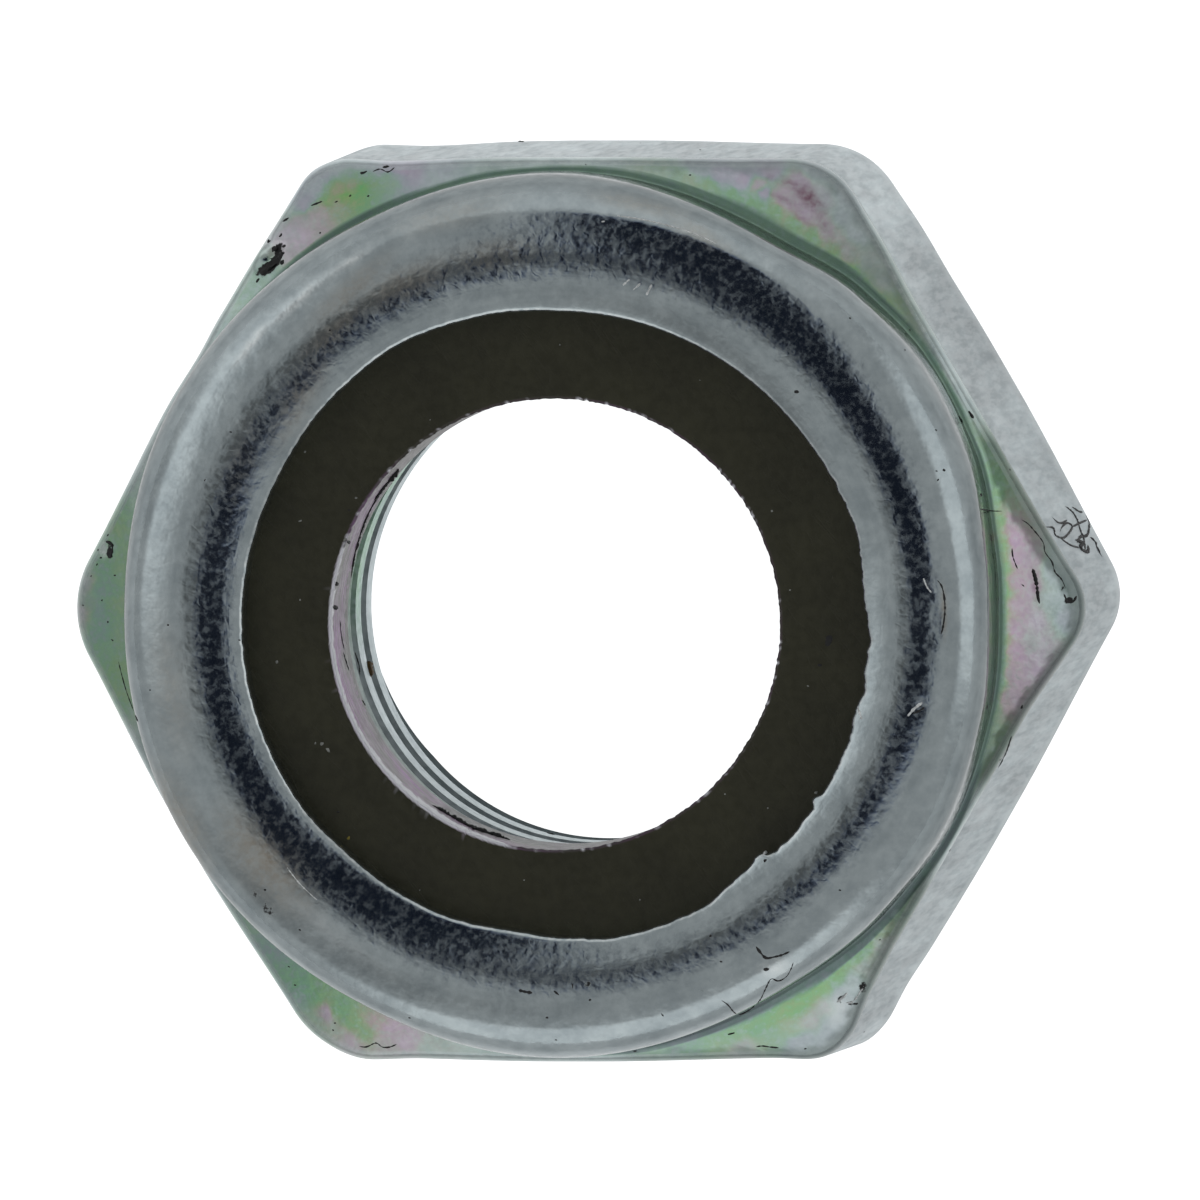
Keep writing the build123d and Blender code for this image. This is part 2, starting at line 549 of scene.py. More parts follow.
def sectionAt(angle):
    out = Vector((cos(angle), sin(angle), 0))

    # a point at a radius and height, measured from a centre that lies a little aside
    def at(radius, height, shift=(0, 0)):
        return Vector((*shift, 0)) + out * radius + Vector((0, 0, height))

    lipShift = nut["lipShift"]
    collarShift = nut["collarShift"]
    coarseGrain, fineGrain = nut["lipGrain"]
    ragged = noise.noise(out * coarseGrain) + 0.7 * noise.noise(out * fineGrain)
    lip = nut["lipRadius"] + roundTheCircle(lipWear, angle) + ragged * roundTheCircle(lipRaggedness, angle)

    # lip and dome
    lipLean = asin((nut["crestRadius"] - lip) / nut["crestCurve"])
    lipRound = nut["lipRound"]
    domeStart = lip + lipRound * (1 - sin(lipLean))
    edgeCentre = domeHeight(domeStart) - lipRound * cos(lipLean)
    underLip = nut["pocketTop"] + nut["seatGap"]
    points = lineOf(at(lip, underLip, lipShift), at(lip, edgeCentre, lipShift), stretches["lipWall"])
    for i in range(stretches["lipEdge"]):
        bend = (pi / 2 - lipLean) * i / stretches["lipEdge"]
        points.append(at(lip + lipRound * (1 - cos(bend)), edgeCentre + lipRound * sin(bend), lipShift))
    for i in range(stretches["dome"]):
        part = i / stretches["dome"]
        radius = domeStart + (nut["rollStart"] - domeStart) * part
        points.append(at(radius, domeHeight(radius), mixed(lipShift, collarShift, part)))

    # the roll over to the collar's upright wall
    wall = nut["collarRadius"] + roundTheCircle(collarSwell, angle)
    domeLean = asin((nut["rollStart"] - nut["crestRadius"]) / nut["crestCurve"])
    rollLean = domeLean + radians(nut["rollStep"])
    rollRadius = (wall - nut["rollStart"]) / (1 - sin(rollLean))
    rollCentre = domeHeight(nut["rollStart"]) - rollRadius * cos(rollLean)
    for i in range(stretches["roll"]):
        lean = rollLean + (pi / 2 - rollLean) * i / stretches["roll"]
        radius = wall - rollRadius * (1 - sin(lean))
        points.append(at(radius, rollCentre + rollRadius * cos(lean), collarShift))

    # wall with the edge under it, then the groove round the collar's foot
    slope = tan(radians(nut["shoulderSlope"]))
    skirt = min(skirtHeight(angle), rollCentre - 0.02)
    inner = wall - nut["undercut"]
    wallStart = at(wall, rollCentre, collarShift)
    skirtEdge = at(wall, skirt, collarShift)
    grooveStart = at(inner, skirt - nut["undercut"], collarShift)
    root = at(inner, nut["shoulderHeight"] - (inner - nut["collarRadius"]) * slope, collarShift)

    # shoulder, from the collar's foot to the hexagon's edge
    reach = hexagonRadius(angle)
    topReach = reach - roundTheCircle(shoulderTaper, angle)
    fromCollar = (out * topReach - Vector((*collarShift, 0))).length - nut["collarRadius"]
    edge = at(topReach, nut["shoulderHeight"] - fromCollar * slope)
    down = edge - root
    tangent = tan(radians(90 - nut["shoulderSlope"]) / 2)
    rise = grooveStart - root
    rootBend = min(nut["rootRound"] * tangent, nut["longestBend"] * down.length)
    edgeBend = min(nut["shoulderRound"] * tangent, nut["longestBend"] * down.length)
    rootTop = root + rise.normalized() * min(rootBend, nut["longestRise"] * rise.length)
    rootEnd = root + down.normalized() * rootBend
    edgeStart = edge - down.normalized() * edgeBend
    edgeEnd = edge - Vector((0, 0, nut["edgeDrop"]))
    points += lineOf(wallStart, skirtEdge, stretches["wall"] - 1) + [skirtEdge]
    points += lineOf(grooveStart, rootTop, stretches["groove"])
    points += bendOf(rootTop, root, rootEnd, stretches["root"])
    points += lineOf(rootEnd, edgeStart, stretches["shoulder"])
    points += bendOf(edgeStart, edge, edgeEnd, stretches["shoulderEdge"])

    # flank, bearing chamfer and bearing face
    chamferTop = at(reach, (reach - nut["bearingRadius"]) * tan(radians(nut["bearingSlope"])))
    bearingEdge = at(nut["bearingRadius"], 0)
    inward = (bearingEdge - chamferTop).normalized()
    flankEnd = chamferTop + Vector((0, 0, nut["lowerEdge"]))
    chamferStart = chamferTop + inward * nut["lowerEdge"]
    points += lineOf(edgeEnd, flankEnd, stretches["flank"])
    points += bendOf(flankEnd, chamferTop, chamferStart, stretches["lowerEdge"])
    points += lineOf(chamferStart, bearingEdge, stretches["bearingChamfer"])
    points += lineOf(bearingEdge, at(nut["sinkRadius"], 0), stretches["bearingFace"])

    # countersink and bore, in rows that follow the thread, which is cut later
    floorHeight = nut["pocketFloor"] - nut["seatGap"]
    for turn in range(firstTurn, lastTurn):
        for stop in turnStops:
            height = thread["crestHeight"] + thread["pitch"] * (turn + stop + (angle - pi) / (2 * pi))
            height = min(floorHeight, max(0.0, height))
            radius = max(nut["boreRadius"], nut["sinkRadius"] - height)
            shift = mixed((0, 0), nut["boreShift"], smoothStep(0, nut["sinkDepth"], height))
            points.append(at(radius, height, shift))

    # pocket for the ring
    pocket = nut["pocketRadius"]
    bevel = nut["pocketBevel"]
    floorCorner = at(pocket, floorHeight)
    bevelLow = at(pocket, underLip - bevel)
    bevelHigh = at(pocket - bevel, underLip)
    boreTop = at(nut["boreRadius"], floorHeight, nut["boreShift"])
    points += lineOf(boreTop, floorCorner, stretches["pocketFloor"])
    points += lineOf(floorCorner, bevelLow, stretches["pocketWall"])
    points += lineOf(bevelLow, bevelHigh, stretches["pocketBevel"])
    points += lineOf(bevelHigh, at(lip, underLip, lipShift), stretches["underLip"])
    return points


# a closed skin over sections that go once round the axis
def skinOf(name, sectionAt, angles):
    columns = [sectionAt(2 * pi * i / angles) for i in range(angles + 1)]
    rows = len(columns[0])
    faces = []
    for i in range(angles):
        for j in range(rows):
            following = (j + 1) % rows
            here = i * rows
            there = (i + 1) * rows
            faces.append((here + j, here + following, there + following, there + j))
    mesh = bpy.data.meshes.new(name)
    mesh.from_pydata([point * mm for column in columns for point in column], [], faces)
    return mesh


def setValues(mesh, name, values):
    layer = mesh.attributes.new(name, "FLOAT", "POINT")
    layer.data.foreach_set("value", values)


def shadeSmooth(mesh):
    mesh.shade_smooth()
    mesh.set_sharp_from_angle(angle=radians(38))


# finds the places near a given one
def findTree(places):
    tree = kdtree.KDTree(len(places))
    for index, place in enumerate(places):
        tree.insert(place, index)
    tree.balance()
    return tree


def placesOf(mesh):
    return [vertex.co / mm for vertex in mesh.vertices]


def stretchOfRow():
    return [name for name, count in stretches.items() for i in range(count)]


# Rainbow film on the shoulder: pixel, thickness, strength. The thickness gives the colour:
# 0 and 1 are pink, 0.3 blue, 0.42 teal, 0.5 green, 0.6 yellow green, 0.75 straw, 0.85 rose beige.
filmSpots = {
    "right": (
        (984, 450, 0.56, 0.7), (993, 475, 0.56, 0.9), (998, 497, 0.57, 1.0), (1001, 520, 0.58, 1.1),
        (1002, 543, 0.58, 1.1), (1003, 566, 0.58, 1.1), (1003, 590, 0.58, 1.1),
        (1003, 614, 0.58, 1.1), (1003, 638, 0.58, 1.1), (1001, 661, 0.58, 1.0), (998, 684, 0.58, 0.9),
        (994, 706, 0.58, 0.8), (990, 728, 0.58, 0.7), (984, 750, 0.58, 0.6), (1008, 500, 0.72, 0.6),
        (1013, 520, 0.9, 0.6), (1016, 540, 0.98, 0.65), (1018, 560, 0.98, 0.65),
        (1018, 583, 0.98, 0.65), (1018, 606, 0.96, 0.6), (1018, 630, 0.98, 0.6),
        (1018, 652, 1.0, 0.65), (1014, 675, 0.97, 0.6), (1009, 702, 0.95, 0.5),
        (1030, 560, 0.97, 0.5), (1034, 590, 1.0, 0.5), (1040, 620, 0.95, 0.35),
        (1030, 640, 0.85, 0.3), (1045, 650, 0.95, 0.35), (1030, 670, 0.97, 0.5),
        (1048, 600, 0.5, 0.15), (1060, 600, 0.45, 0.2), (1055, 570, 0.4, 0.1), (1066, 615, 0.3, 0.15),
    ),
    "upperRight": (
        (660, 172, 0.6, 0.5), (688, 180, 0.6, 0.7), (710, 186, 0.57, 0.9), (732, 193, 0.56, 1.0),
        (754, 201, 0.55, 1.0), (775, 211, 0.54, 1.0), (795, 223, 0.54, 1.0), (814, 237, 0.55, 1.0),
        (832, 253, 0.58, 1.1), (849, 270, 0.61, 1.2), (864, 286, 0.64, 1.2), (878, 302, 0.64, 1.1),
        (893, 322, 0.62, 0.9), (908, 345, 0.55, 0.6), (705, 170, 0.3, 0.25), (722, 175, 0.2, 0.3),
        (742, 180, 0.05, 0.4), (760, 186, 0.98, 0.45), (778, 194, 0.98, 0.5), (800, 206, 0.95, 0.45),
        (820, 222, 0.9, 0.45), (836, 238, 0.8, 0.5), (850, 254, 0.75, 0.5), (700, 162, 0.3, 0.1),
        (740, 164, 0.25, 0.15), (770, 172, 0.05, 0.25), (800, 184, 0.98, 0.4), (822, 200, 0.9, 0.15),
        (840, 218, 0.4, 0.05), (855, 235, 0.4, 0.05), (868, 260, 0.7, 0.25), (880, 280, 0.7, 0.25),
        (815, 168, 0.3, 0.05), (845, 195, 0.3, 0.05), (735, 184, 0.2, 0.3), (765, 193, 0.1, 0.35),
        (785, 202, 0.98, 0.45), (806, 215, 0.98, 0.45), (828, 230, 0.9, 0.4), (847, 249, 0.78, 0.35),
    ),
    "upperLeft": (
        (328, 203, 0.62, 1.4), (345, 196, 0.6, 1.7), (362, 189, 0.58, 1.6), (338, 190, 0.68, 1.2),
        (352, 184, 0.68, 0.9), (375, 186, 0.55, 0.9), (338, 208, 0.64, 0.8), (350, 176, 0.45, 0.6),
        (368, 177, 0.45, 0.8), (385, 178, 0.45, 0.7), (393, 184, 0.5, 0.6), (399, 177, 0.3, 0.4),
        (402, 170, 0.1, 0.45), (387, 167, 0.1, 0.35), (416, 172, 0.15, 0.35), (432, 170, 0.3, 0.2),
        (372, 165, 0.3, 0.3), (322, 176, 0.25, 0.3), (312, 190, 0.25, 0.3), (304, 204, 0.2, 0.3),
        (340, 168, 0.3, 0.3), (356, 164, 0.3, 0.2), (320, 212, 0.78, 0.6), (311, 216, 0.84, 0.5),
        (316, 222, 0.82, 0.5), (306, 230, 0.86, 0.5), (298, 240, 0.9, 0.45), (291, 250, 0.92, 0.4),
        (301, 220, 0.88, 0.4), (292, 233, 0.92, 0.3), (262, 270, 0.5, 0.5), (250, 285, 0.55, 0.5),
    ),
    "left": (
        (108, 500, 0.55, 0.9), (112, 522, 0.58, 1.0), (110, 545, 0.5, 0.9), (104, 570, 0.45, 1.0),
        (98, 590, 0.42, 1.0), (112, 585, 0.48, 0.9), (118, 560, 0.6, 0.9), (113, 606, 0.6, 0.9),
        (98, 612, 0.42, 1.0), (102, 632, 0.43, 1.0), (116, 640, 0.6, 0.8), (108, 652, 0.5, 0.9),
        (115, 668, 0.58, 1.0), (118, 690, 0.6, 0.9), (90, 604, 0.6, 0.5), (84, 612, 0.85, 0.5),
        (88, 585, 0.8, 0.3),
    ),
    "lowerLeft": (
        (215, 905, 0.5, 0.6), (245, 935, 0.45, 0.7), (270, 958, 0.42, 0.9), (285, 975, 0.43, 1.0),
        (300, 985, 0.46, 1.1), (318, 998, 0.5, 1.1), (338, 1010, 0.54, 1.1), (352, 1022, 0.56, 1.1),
        (366, 1034, 0.58, 1.0), (296, 1002, 0.42, 0.8), (312, 1018, 0.6, 0.6),
        (326, 1014, 0.95, 0.43), (334, 1030, 0.7, 0.6), (350, 1042, 0.85, 0.5),
        (376, 1022, 0.78, 0.8), (392, 1032, 0.92, 0.56), (408, 1040, 0.95, 0.5),
        (385, 1042, 0.8, 0.5), (430, 1046, 0.7, 0.3), (300, 1020, 0.7, 0.2),
    ),
    "lowerRight": (
        (668, 1050, 0.5, 0.6), (690, 1047, 0.52, 0.7), (712, 1042, 0.55, 0.8), (732, 1035, 0.55, 0.9),
        (752, 1028, 0.54, 1.0), (772, 1019, 0.56, 1.1), (790, 1010, 0.58, 1.2), (806, 1000, 0.6, 1.2),
        (822, 988, 0.6, 1.2), (838, 974, 0.58, 1.1), (852, 960, 0.57, 1.0), (866, 946, 0.58, 1.0),
        (880, 930, 0.6, 0.8), (892, 912, 0.6, 0.6), (790, 1030, 0.62, 0.7), (768, 1040, 0.58, 0.7),
        (812, 1022, 0.78, 0.35), (826, 1008, 0.75, 0.3), (832, 1022, 0.3, 0.05),
        (838, 996, 0.3, 0.15), (848, 1008, 0.3, 0.05), (852, 984, 0.4, 0.12), (864, 968, 0.7, 0.3),
        (880, 948, 0.72, 0.3), (800, 1042, 0.3, 0.1), (830, 1040, 0.3, 0.05), (745, 1047, 0.75, 0.3),
    ),
}
# how the spots run into each other, in mm
filmSpread = {
    "bare": (0.55, 0.2),        # thickness and strength beside the middle of each side
    "bareWeight": 0.008,
    "reach": 1.1,
    "core": 0.16,
    "soft": 0.05,
    "warps": ((5, 0.05), (14, 0.03)),
    "edgeShare": 0.6,           # of the film's strength on the shoulder's edge
}
# the film on the thread's upper turns at the back of the bore
boreFilm = {
    "thickness": 0.47,
    "strength": 0.75,
    "heights": (2.4, 2.6),
    "back": (-0.9, 0.1),
}


# Stains: pixel, half length and half width in pixels, turn in degrees, strength
stains = {
    "brownStain": (
        (300, 395, 60, 16, 62, 0.5), (240, 470, 50, 14, 74, 0.4), (350, 292, 50, 12, 42, 0.5),
        (268, 860, 62, 30, -50, 0.75), (176, 822, 62, 24, -62, 0.55), (172, 690, 70, 18, -80, 0.3),
        (401, 286, 60, 16, 25, 0.6), (335, 330, 50, 12, 42, 0.6), (492, 256, 50, 16, 10, 0.5),
        (700, 235, 40, 10, -30, 0.4), (640, 205, 50, 8, -12, 0.4), (450, 215, 60, 14, 14, 0.3),
        (944, 611, 24, 3, -88, 0.8), (992, 538, 5, 5, 0, 1.0), (1008, 705, 14, 6, -60, 0.4),
    ),
    "plumStain": (
        (808, 197, 22, 8, -45, 1.1), (790, 183, 14, 5, -30, 0.8), (783, 200, 16, 3, -25, 0.6),
        (800, 216, 16, 3, -35, 0.6), (824, 226, 10, 5, -50, 0.5), (770, 178, 10, 4, -10, 0.4),
        (1036, 585, 20, 4, -82, 0.7),
    ),
    "darkStain": (
        (270, 264, 17, 8, 42, 1.5), (277, 249, 8, 4, 65, 1.1), (600, 165, 60, 4, -2, 0.3),
        (862, 987, 7, 6, 50, 1.0), (852, 1004, 9, 3, 0, 0.8), (840, 999, 6, 3, 45, 0.8),
        (265, 906, 34, 8, -45, 0.5), (701, 990, 9, 5, 10, 0.6), (586, 984, 8, 4, 10, 0.7),
        (110, 551, 3, 8, 0, 1.2), (1068, 601, 6, 4, 0, 0.9), (1064, 588, 3, 6, 20, 0.9),
        (938, 471, 4, 4, 0, 0.8),
    ),
    "lightStain": (
        (775, 967, 16, 10, 15, 0.7), (250, 345, 26, 4, 52, 0.9), (298, 301, 34, 4, 42, 0.9),
        (350, 261, 28, 4, 33, 0.8), (104, 550, 4, 8, 0, 1.0), (838, 1008, 15, 16, 50, 0.5),
        (330, 930, 60, 9, -38, 0.4),
    ),
}


stainEdge = 1.6         # a stain dies away at this many times its half length
slantRoom = 0.3         # mm, for the surface may lie at a slant


# how far apart two places look in the picture, turned to a mark's own long and wide directions
def markDistance(place, centre, turn):
    right, up, toCamera = cameraAxes()
    offset = place - centre
    x = offset.dot(right)
    y = offset.dot(up)
    return x * cos(turn) + y * sin(turn), y * cos(turn) - x * sin(turn)


# mm that a pixel covers at the nut
pixelSize = picture["sensor"] / picture["lens"] / picture["size"] * picture["distance"]


def paintStains(mesh, surface):
    tree = findTree(placesOf(mesh))
    for name, spots in stains.items():
        values = [0.0] * len(mesh.vertices)
        for pixelX, pixelY, long, wide, turn, strength in spots:
            centre = placeOn(surface, pixelX, pixelY)[0]
            if centre is None:
                continue
            reach = stainEdge * max(long, wide) * pixelSize
            for place, index, distance in tree.find_range(centre, reach + slantRoom):
                along, across = markDistance(place, centre, radians(turn))
                far = sqrt((along / long) ** 2 + (across / wide) ** 2) / pixelSize
                values[index] = max(values[index], strength * smoothStep(stainEdge, 0.0, far))
        setValues(mesh, name, values)


# 1 at the hexagon's corners and 0 at the middle of each side
def nearCorner(angle):
    return (1 + cos(6 * angle)) / 2


# thickness and strength of the film at a place on the shoulder
def filmNear(place, spots, tree):
    warps = [noise.noise_vector(place * scale) * strength for scale, strength in filmSpread["warps"]]
    place = sum(warps, place.copy())
    total = filmSpread["bareWeight"]
    thickness, strength = (value * total for value in filmSpread["bare"])
    for spot, index, distance in tree.find_range(place, filmSpread["reach"]):
        fade = smoothStep(filmSpread["reach"], 0, distance)
        weight = (filmSpread["core"] / (distance + filmSpread["soft"])) ** 4 * fade
        thickness += spots[index][1] * weight
        strength += spots[index][2] * weight
        total += weight
    return thickness / total, strength / total


def paintFilm(mesh, surface, kinds):
    spots = []
    for corner in filmSpots.values():
        for pixelX, pixelY, thickness, strength in corner:
            place = placeOn(surface, pixelX, pixelY)[0]
            if place is not None:
                spots.append((place, thickness, strength))
    tree = findTree([spot[0] for spot in spots])
    film = []
    amount = []
    for index, place in enumerate(placesOf(mesh)):
        kind = kinds[index % len(kinds)]
        angle = atan2(place.y, place.x)
        thickness, strength = (0.5, 0.0)
        if kind == "bore":
            upward = place.z - thread["pitch"] * (angle % (2 * pi) - pi) / (2 * pi)
            shown = smoothStep(*boreFilm["heights"], upward) * smoothStep(*boreFilm["back"], place.y)
            thickness, strength = (boreFilm["thickness"], boreFilm["strength"] * shown)
        if kind == "groove":
            thickness, strength = (roundTheCircle(grooveFilm, angle), roundTheCircle(wallFilm, angle))
        if kind in ("root", "shoulder", "shoulderEdge"):
            thickness, strength = filmNear(place, spots, tree)
            inShadedGroove = shadedGrooveAt(place, kind)
            thickness += (roundTheCircle(grooveFilm, angle) - thickness) * inShadedGroove
            strength += (grooveStrength - strength) * inShadedGroove
        film.append(thickness)
        amount.append(strength * (filmSpread["edgeShare"] if kind == "shoulderEdge" else 1.0))
    setValues(mesh, "film", film)
    setValues(mesh, "filmAmount", amount)


# Dents: pixel, radius and depth in mm
dents = (
    (267, 259, 0.16, 0.10), (277, 250, 0.09, 0.04), (1084, 508, 0.10, 0.05), (950, 919, 0.09, 0.05),
    (934, 622, 0.24, 0.006), (268, 240, 0.08, 0.02), (127, 481, 0.10, -0.03), (920, 708, 0.10, 0.005),
)
dentEdge = 1.5          # a dent dies away at this many times its radius
dentGrain = (14, 0.5)   # how fine and how strong its roughness is


def pressDents(mesh, surface):
    tree = findTree(placesOf(mesh))
    for pixelX, pixelY, radius, depth in dents:
        centre, facing = placeOn(surface, pixelX, pixelY)
        if centre is None:
            continue
        for place, index, distance in tree.find_range(centre, radius * dentEdge):
            rough = 1 + dentGrain[1] * noise.noise(place * dentGrain[0])
            push = depth * rough * smoothStep(radius * dentEdge, 0, distance)
            mesh.vertices[index].co -= facing * push * mm


# how far a point gets the painted shade of the groove round the collar's foot; the top of the bore gets it
# too
def shadedGrooveAt(place, kind):
    if kind == "groove":
        return 1.0
    if kind == "bore":
        return smoothStep(*shadedBoreHeights, place.z)
    if kind in ("root", "shoulder", "shoulderEdge"):
        fromAxis = place - Vector((*nut["collarShift"], place.z))
        angle = atan2(place.y, place.x)
        foot = nut["collarRadius"] + roundTheCircle(collarSwell, angle)
        reach = roundTheCircle(grooveShadeReach, angle)
        return smoothStep(reach + grooveShadeSoft, reach, fromAxis.length - foot)
    return 0.0


# the shaded band along the hexagon's edge on the right, which widens beside the right corner
edgeShade = {
    "wide": 0.24,               # mm
    "wider": 0.13,
    "widerFrom": (-3, 8),       # degrees
    "widerTo": (45, 30),
    "soft": 0.1,
    "ragged": ((5, 0.07), (16, 0.04)),
    "corners": (0.02, 0.2),     # it fades in from the middle of a side to its corners
}


def edgeShadeAt(place, kind):
    if kind not in ("shoulder", "shoulderEdge"):
        return 0.0
    angle = atan2(place.y, place.x)
    turn = angle * 180 / pi
    fromEdge = hexagonRadius(angle) - roundTheCircle(shoulderTaper, angle) - place.xy.length
    for scale, strength in edgeShade["ragged"]:
        fromEdge += strength * noise.noise(place * scale)
    beside = smoothStep(*edgeShade["corners"], nearCorner(angle))
    bulge = smoothStep(*edgeShade["widerFrom"], turn) * smoothStep(*edgeShade["widerTo"], turn)
    wide = edgeShade["wide"] + edgeShade["wider"] * bulge
    inside = smoothStep(wide, wide - edgeShade["soft"], fromEdge)
    return roundTheCircle(edgeShadeByAngle, angle) * beside * inside


def surfaceOf(mesh):
    return BVHTree.FromPolygons([v.co for v in mesh.vertices], [tuple(p.vertices) for p in mesh.polygons])


# painted shade on each point of the collar's wall and the end of its roll, lifted along the wall's lower
# edge as a painted highlight
def paintWallShade(mesh, kinds):
    shades = [float(kind == "wall") for kind in kinds]
    firstRoll = kinds.index("roll")
    for i in range(stretches["roll"]):
        shades[firstRoll + i] = smoothStep(*rollShadeSpan, i / stretches["roll"])
    skirtRow = kinds.index("groove") - 1
    values = []
    for i in range(nut["angles"] + 1):
        angle = 2 * pi * i / nut["angles"]
        dull = roundTheCircle(wallShadeByAngle, angle)
        values += [shade * dull for shade in shades]
        values[skirtRow - len(kinds)] *= 1 - highlightPart * roundTheCircle(skirtHighlight, angle)
    setValues(mesh, "wall", values)


def makeBody():
    mesh = skinOf("nutBody", sectionAt, nut["angles"])
    kinds = stretchOfRow()
    surface = surfaceOf(mesh)
    paintFilm(mesh, surface, kinds)
    paintStains(mesh, surface)
    pressDents(mesh, surface)
    paintWallShade(mesh, kinds)
    # the lip's edge, the shoulder's edge and the lower edge are lighter: partly rubbed bright, partly a
    # painted highlight
    wear = {"lipEdge": 0.9, "shoulderEdge": 0.2, "lowerEdge": 0.6}
    bore = {"bore": 1.0}
    flank = {"flank": 1.0, "lowerEdge": 1.0, "bearingChamfer": 1.0}
    for name, parts in (("wear", wear), ("bore", bore), ("flank", flank)):
        setValues(mesh, name, [parts.get(kind, 0.0) for kind in kinds] * (nut["angles"] + 1))
    # painted shade: the groove round the collar's foot with the top of the bore, and the band along the
    # hexagon's edge
    for name, shadeAt in (("groove", shadedGrooveAt), ("edgeShade", edgeShadeAt)):
        shades = [shadeAt(place, kinds[index % len(kinds)]) for index, place in enumerate(placesOf(mesh))]
        setValues(mesh, name, shades)
    return newPiece("nutBody", mesh), surface


# Geometry Nodes: cuts the helix into the bore's rows
def threadTree():
    sizes = ("Pitch", "Crest Radius", "Depth", "Crest Flat", "Root Flat", "Crest Height", "Top", "Fade")
    inputs = [(label, "NodeSocketFloat") for label in sizes]
    tree, given, result = geometryTree("cutThread", [*inputs, ("Axis", "NodeSocketVector")])
    place = addNode(tree, "GeometryNodeInputPosition").outputs[0]
    x, y, z = separate(tree, calcVector(tree, "SUBTRACT", place, given["Axis"]))
    flat = combine(tree, x, y)
    radius = calcVector(tree, "LENGTH", flat)

    # how far along one turn the point lies, 0 and 1 on a crest
    turn = calc(tree, "DIVIDE", calc(tree, "ARCTAN2", y, x), 2 * pi)
    rise = calc(tree, "DIVIDE", calc(tree, "SUBTRACT", z, given["Crest Height"]), given["Pitch"])
    along = calc(tree, "FRACT", calc(tree, "SUBTRACT", calc(tree, "ADD", rise, 0.5), turn))
    fromRoot = calc(tree, "ABSOLUTE", calc(tree, "MULTIPLY_ADD", along, 2.0, -1.0))
    crestEdge = calc(tree, "SUBTRACT", 1.0, given["Crest Flat"])
    cut = ramp(tree, fromRoot, crestEdge, given["Root Flat"], 0.0, given["Depth"], smooth=False)
    below = calc(tree, "DIVIDE", calc(tree, "SUBTRACT", given["Top"], z), given["Fade"], clamp=True)
    wanted = calc(tree, "MULTIPLY_ADD", cut, below, given["Crest Radius"])
    grow = calc(tree, "SUBTRACT", calc(tree, "MAXIMUM", wanted, radius), radius)

    move = addNode(tree, "GeometryNodeSetPosition")
    feed(tree, move.inputs["Geometry"], given["Geometry"])
    feed(tree, move.inputs["Selection"], calc(tree, "GREATER_THAN", stored(tree, "bore"), 0.5))
    feed(tree, move.inputs["Offset"], scaled(tree, calcVector(tree, "NORMALIZE", flat), grow))
    seam = addNode(tree, "GeometryNodeMergeByDistance")
    seam.inputs["Distance"].default_value = weldDistance
    feed(tree, seam.inputs["Geometry"], move.outputs[0])
    endTree(tree, seam.outputs[0], given["Material"], result)
    return tree


# puts a tree on the piece, sets its inputs by name and makes the result a plain mesh
def applyTree(piece, tree, values):
    modifier = piece.modifiers.new(tree.name, "NODES")
    modifier.node_group = tree
    for item in tree.interface.items_tree:
        if item.in_out == "INPUT" and item.name in values:
            modifier[item.identifier] = values[item.name]
    bpy.context.view_layer.update()
    depsgraph = bpy.context.evaluated_depsgraph_get()
    made = bpy.data.meshes.new_from_object(piece.evaluated_get(depsgraph), depsgraph=depsgraph)
    piece.modifiers.remove(modifier)
    piece.data = made
    made.name = piece.name
    return piece


print("materials")


def mottleGroup():
    tree, given, result = newGroup(
        "mottle",
        [
            ("Position", "NodeSocketVector", None),
            ("Coarse", "NodeSocketFloat", 1.0),
            ("Fine", "NodeSocketFloat", 8.0),
            ("Detail", "NodeSocketFloat", 3.5),
            ("Roughness", "NodeSocketFloat", 0.6),
        ],
        [("Coarse", "NodeSocketFloat"), ("Fine", "NodeSocketFloat")],
    )
    for label in ("Coarse", "Fine"):
        cloud = addNode(tree, "ShaderNodeTexNoise")
        feed(tree, cloud.inputs["Vector"], given["Position"])
        feed(tree, cloud.inputs["Scale"], given[label])
        feed(tree, cloud.inputs["Detail"], given["Detail"])
        feed(tree, cloud.inputs["Roughness"], given["Roughness"])
        feed(tree, result[label], ramp(tree, cloud.outputs[0], 0.3, 0.7))
    return tree


# fine lines that run one way: a cloud squeezed across its length and cut to thin ridges
def scratchGroup():
    tree, given, result = newGroup(
        "scratches",
        [
            ("Position", "NodeSocketVector", None),
            ("Turn", "NodeSocketFloat", 0.0),
            ("Across", "NodeSocketFloat", 6.0),
            ("Along", "NodeSocketFloat", 0.4),
            ("Amount", "NodeSocketFloat", 0.1),
        ],
        [("Lines", "NodeSocketFloat")],
    )
    turned = addNode(tree, "ShaderNodeVectorRotate", rotation_type="Z_AXIS")
    feed(tree, turned.inputs["Vector"], given["Position"])
    feed(tree, turned.inputs["Angle"], given["Turn"])
    squeeze = combine(tree, given["Along"], given["Across"], given["Along"])
    cloud = addNode(tree, "ShaderNodeTexNoise")
    feed(tree, cloud.inputs["Vector"], calcVector(tree, "MULTIPLY", turned.outputs[0], squeeze))
    cloud.inputs["Scale"].default_value = 1.0
    cloud.inputs["Detail"].default_value = 2.0
    ridge = calc(tree, "ABSOLUTE", calc(tree, "SUBTRACT", cloud.outputs[0], 0.5))
    thin = calc(tree, "MULTIPLY", given["Amount"], 0.1)
    feed(tree, result["Lines"], ramp(tree, ridge, 0.0, thin, 1.0, 0.0))
    return tree


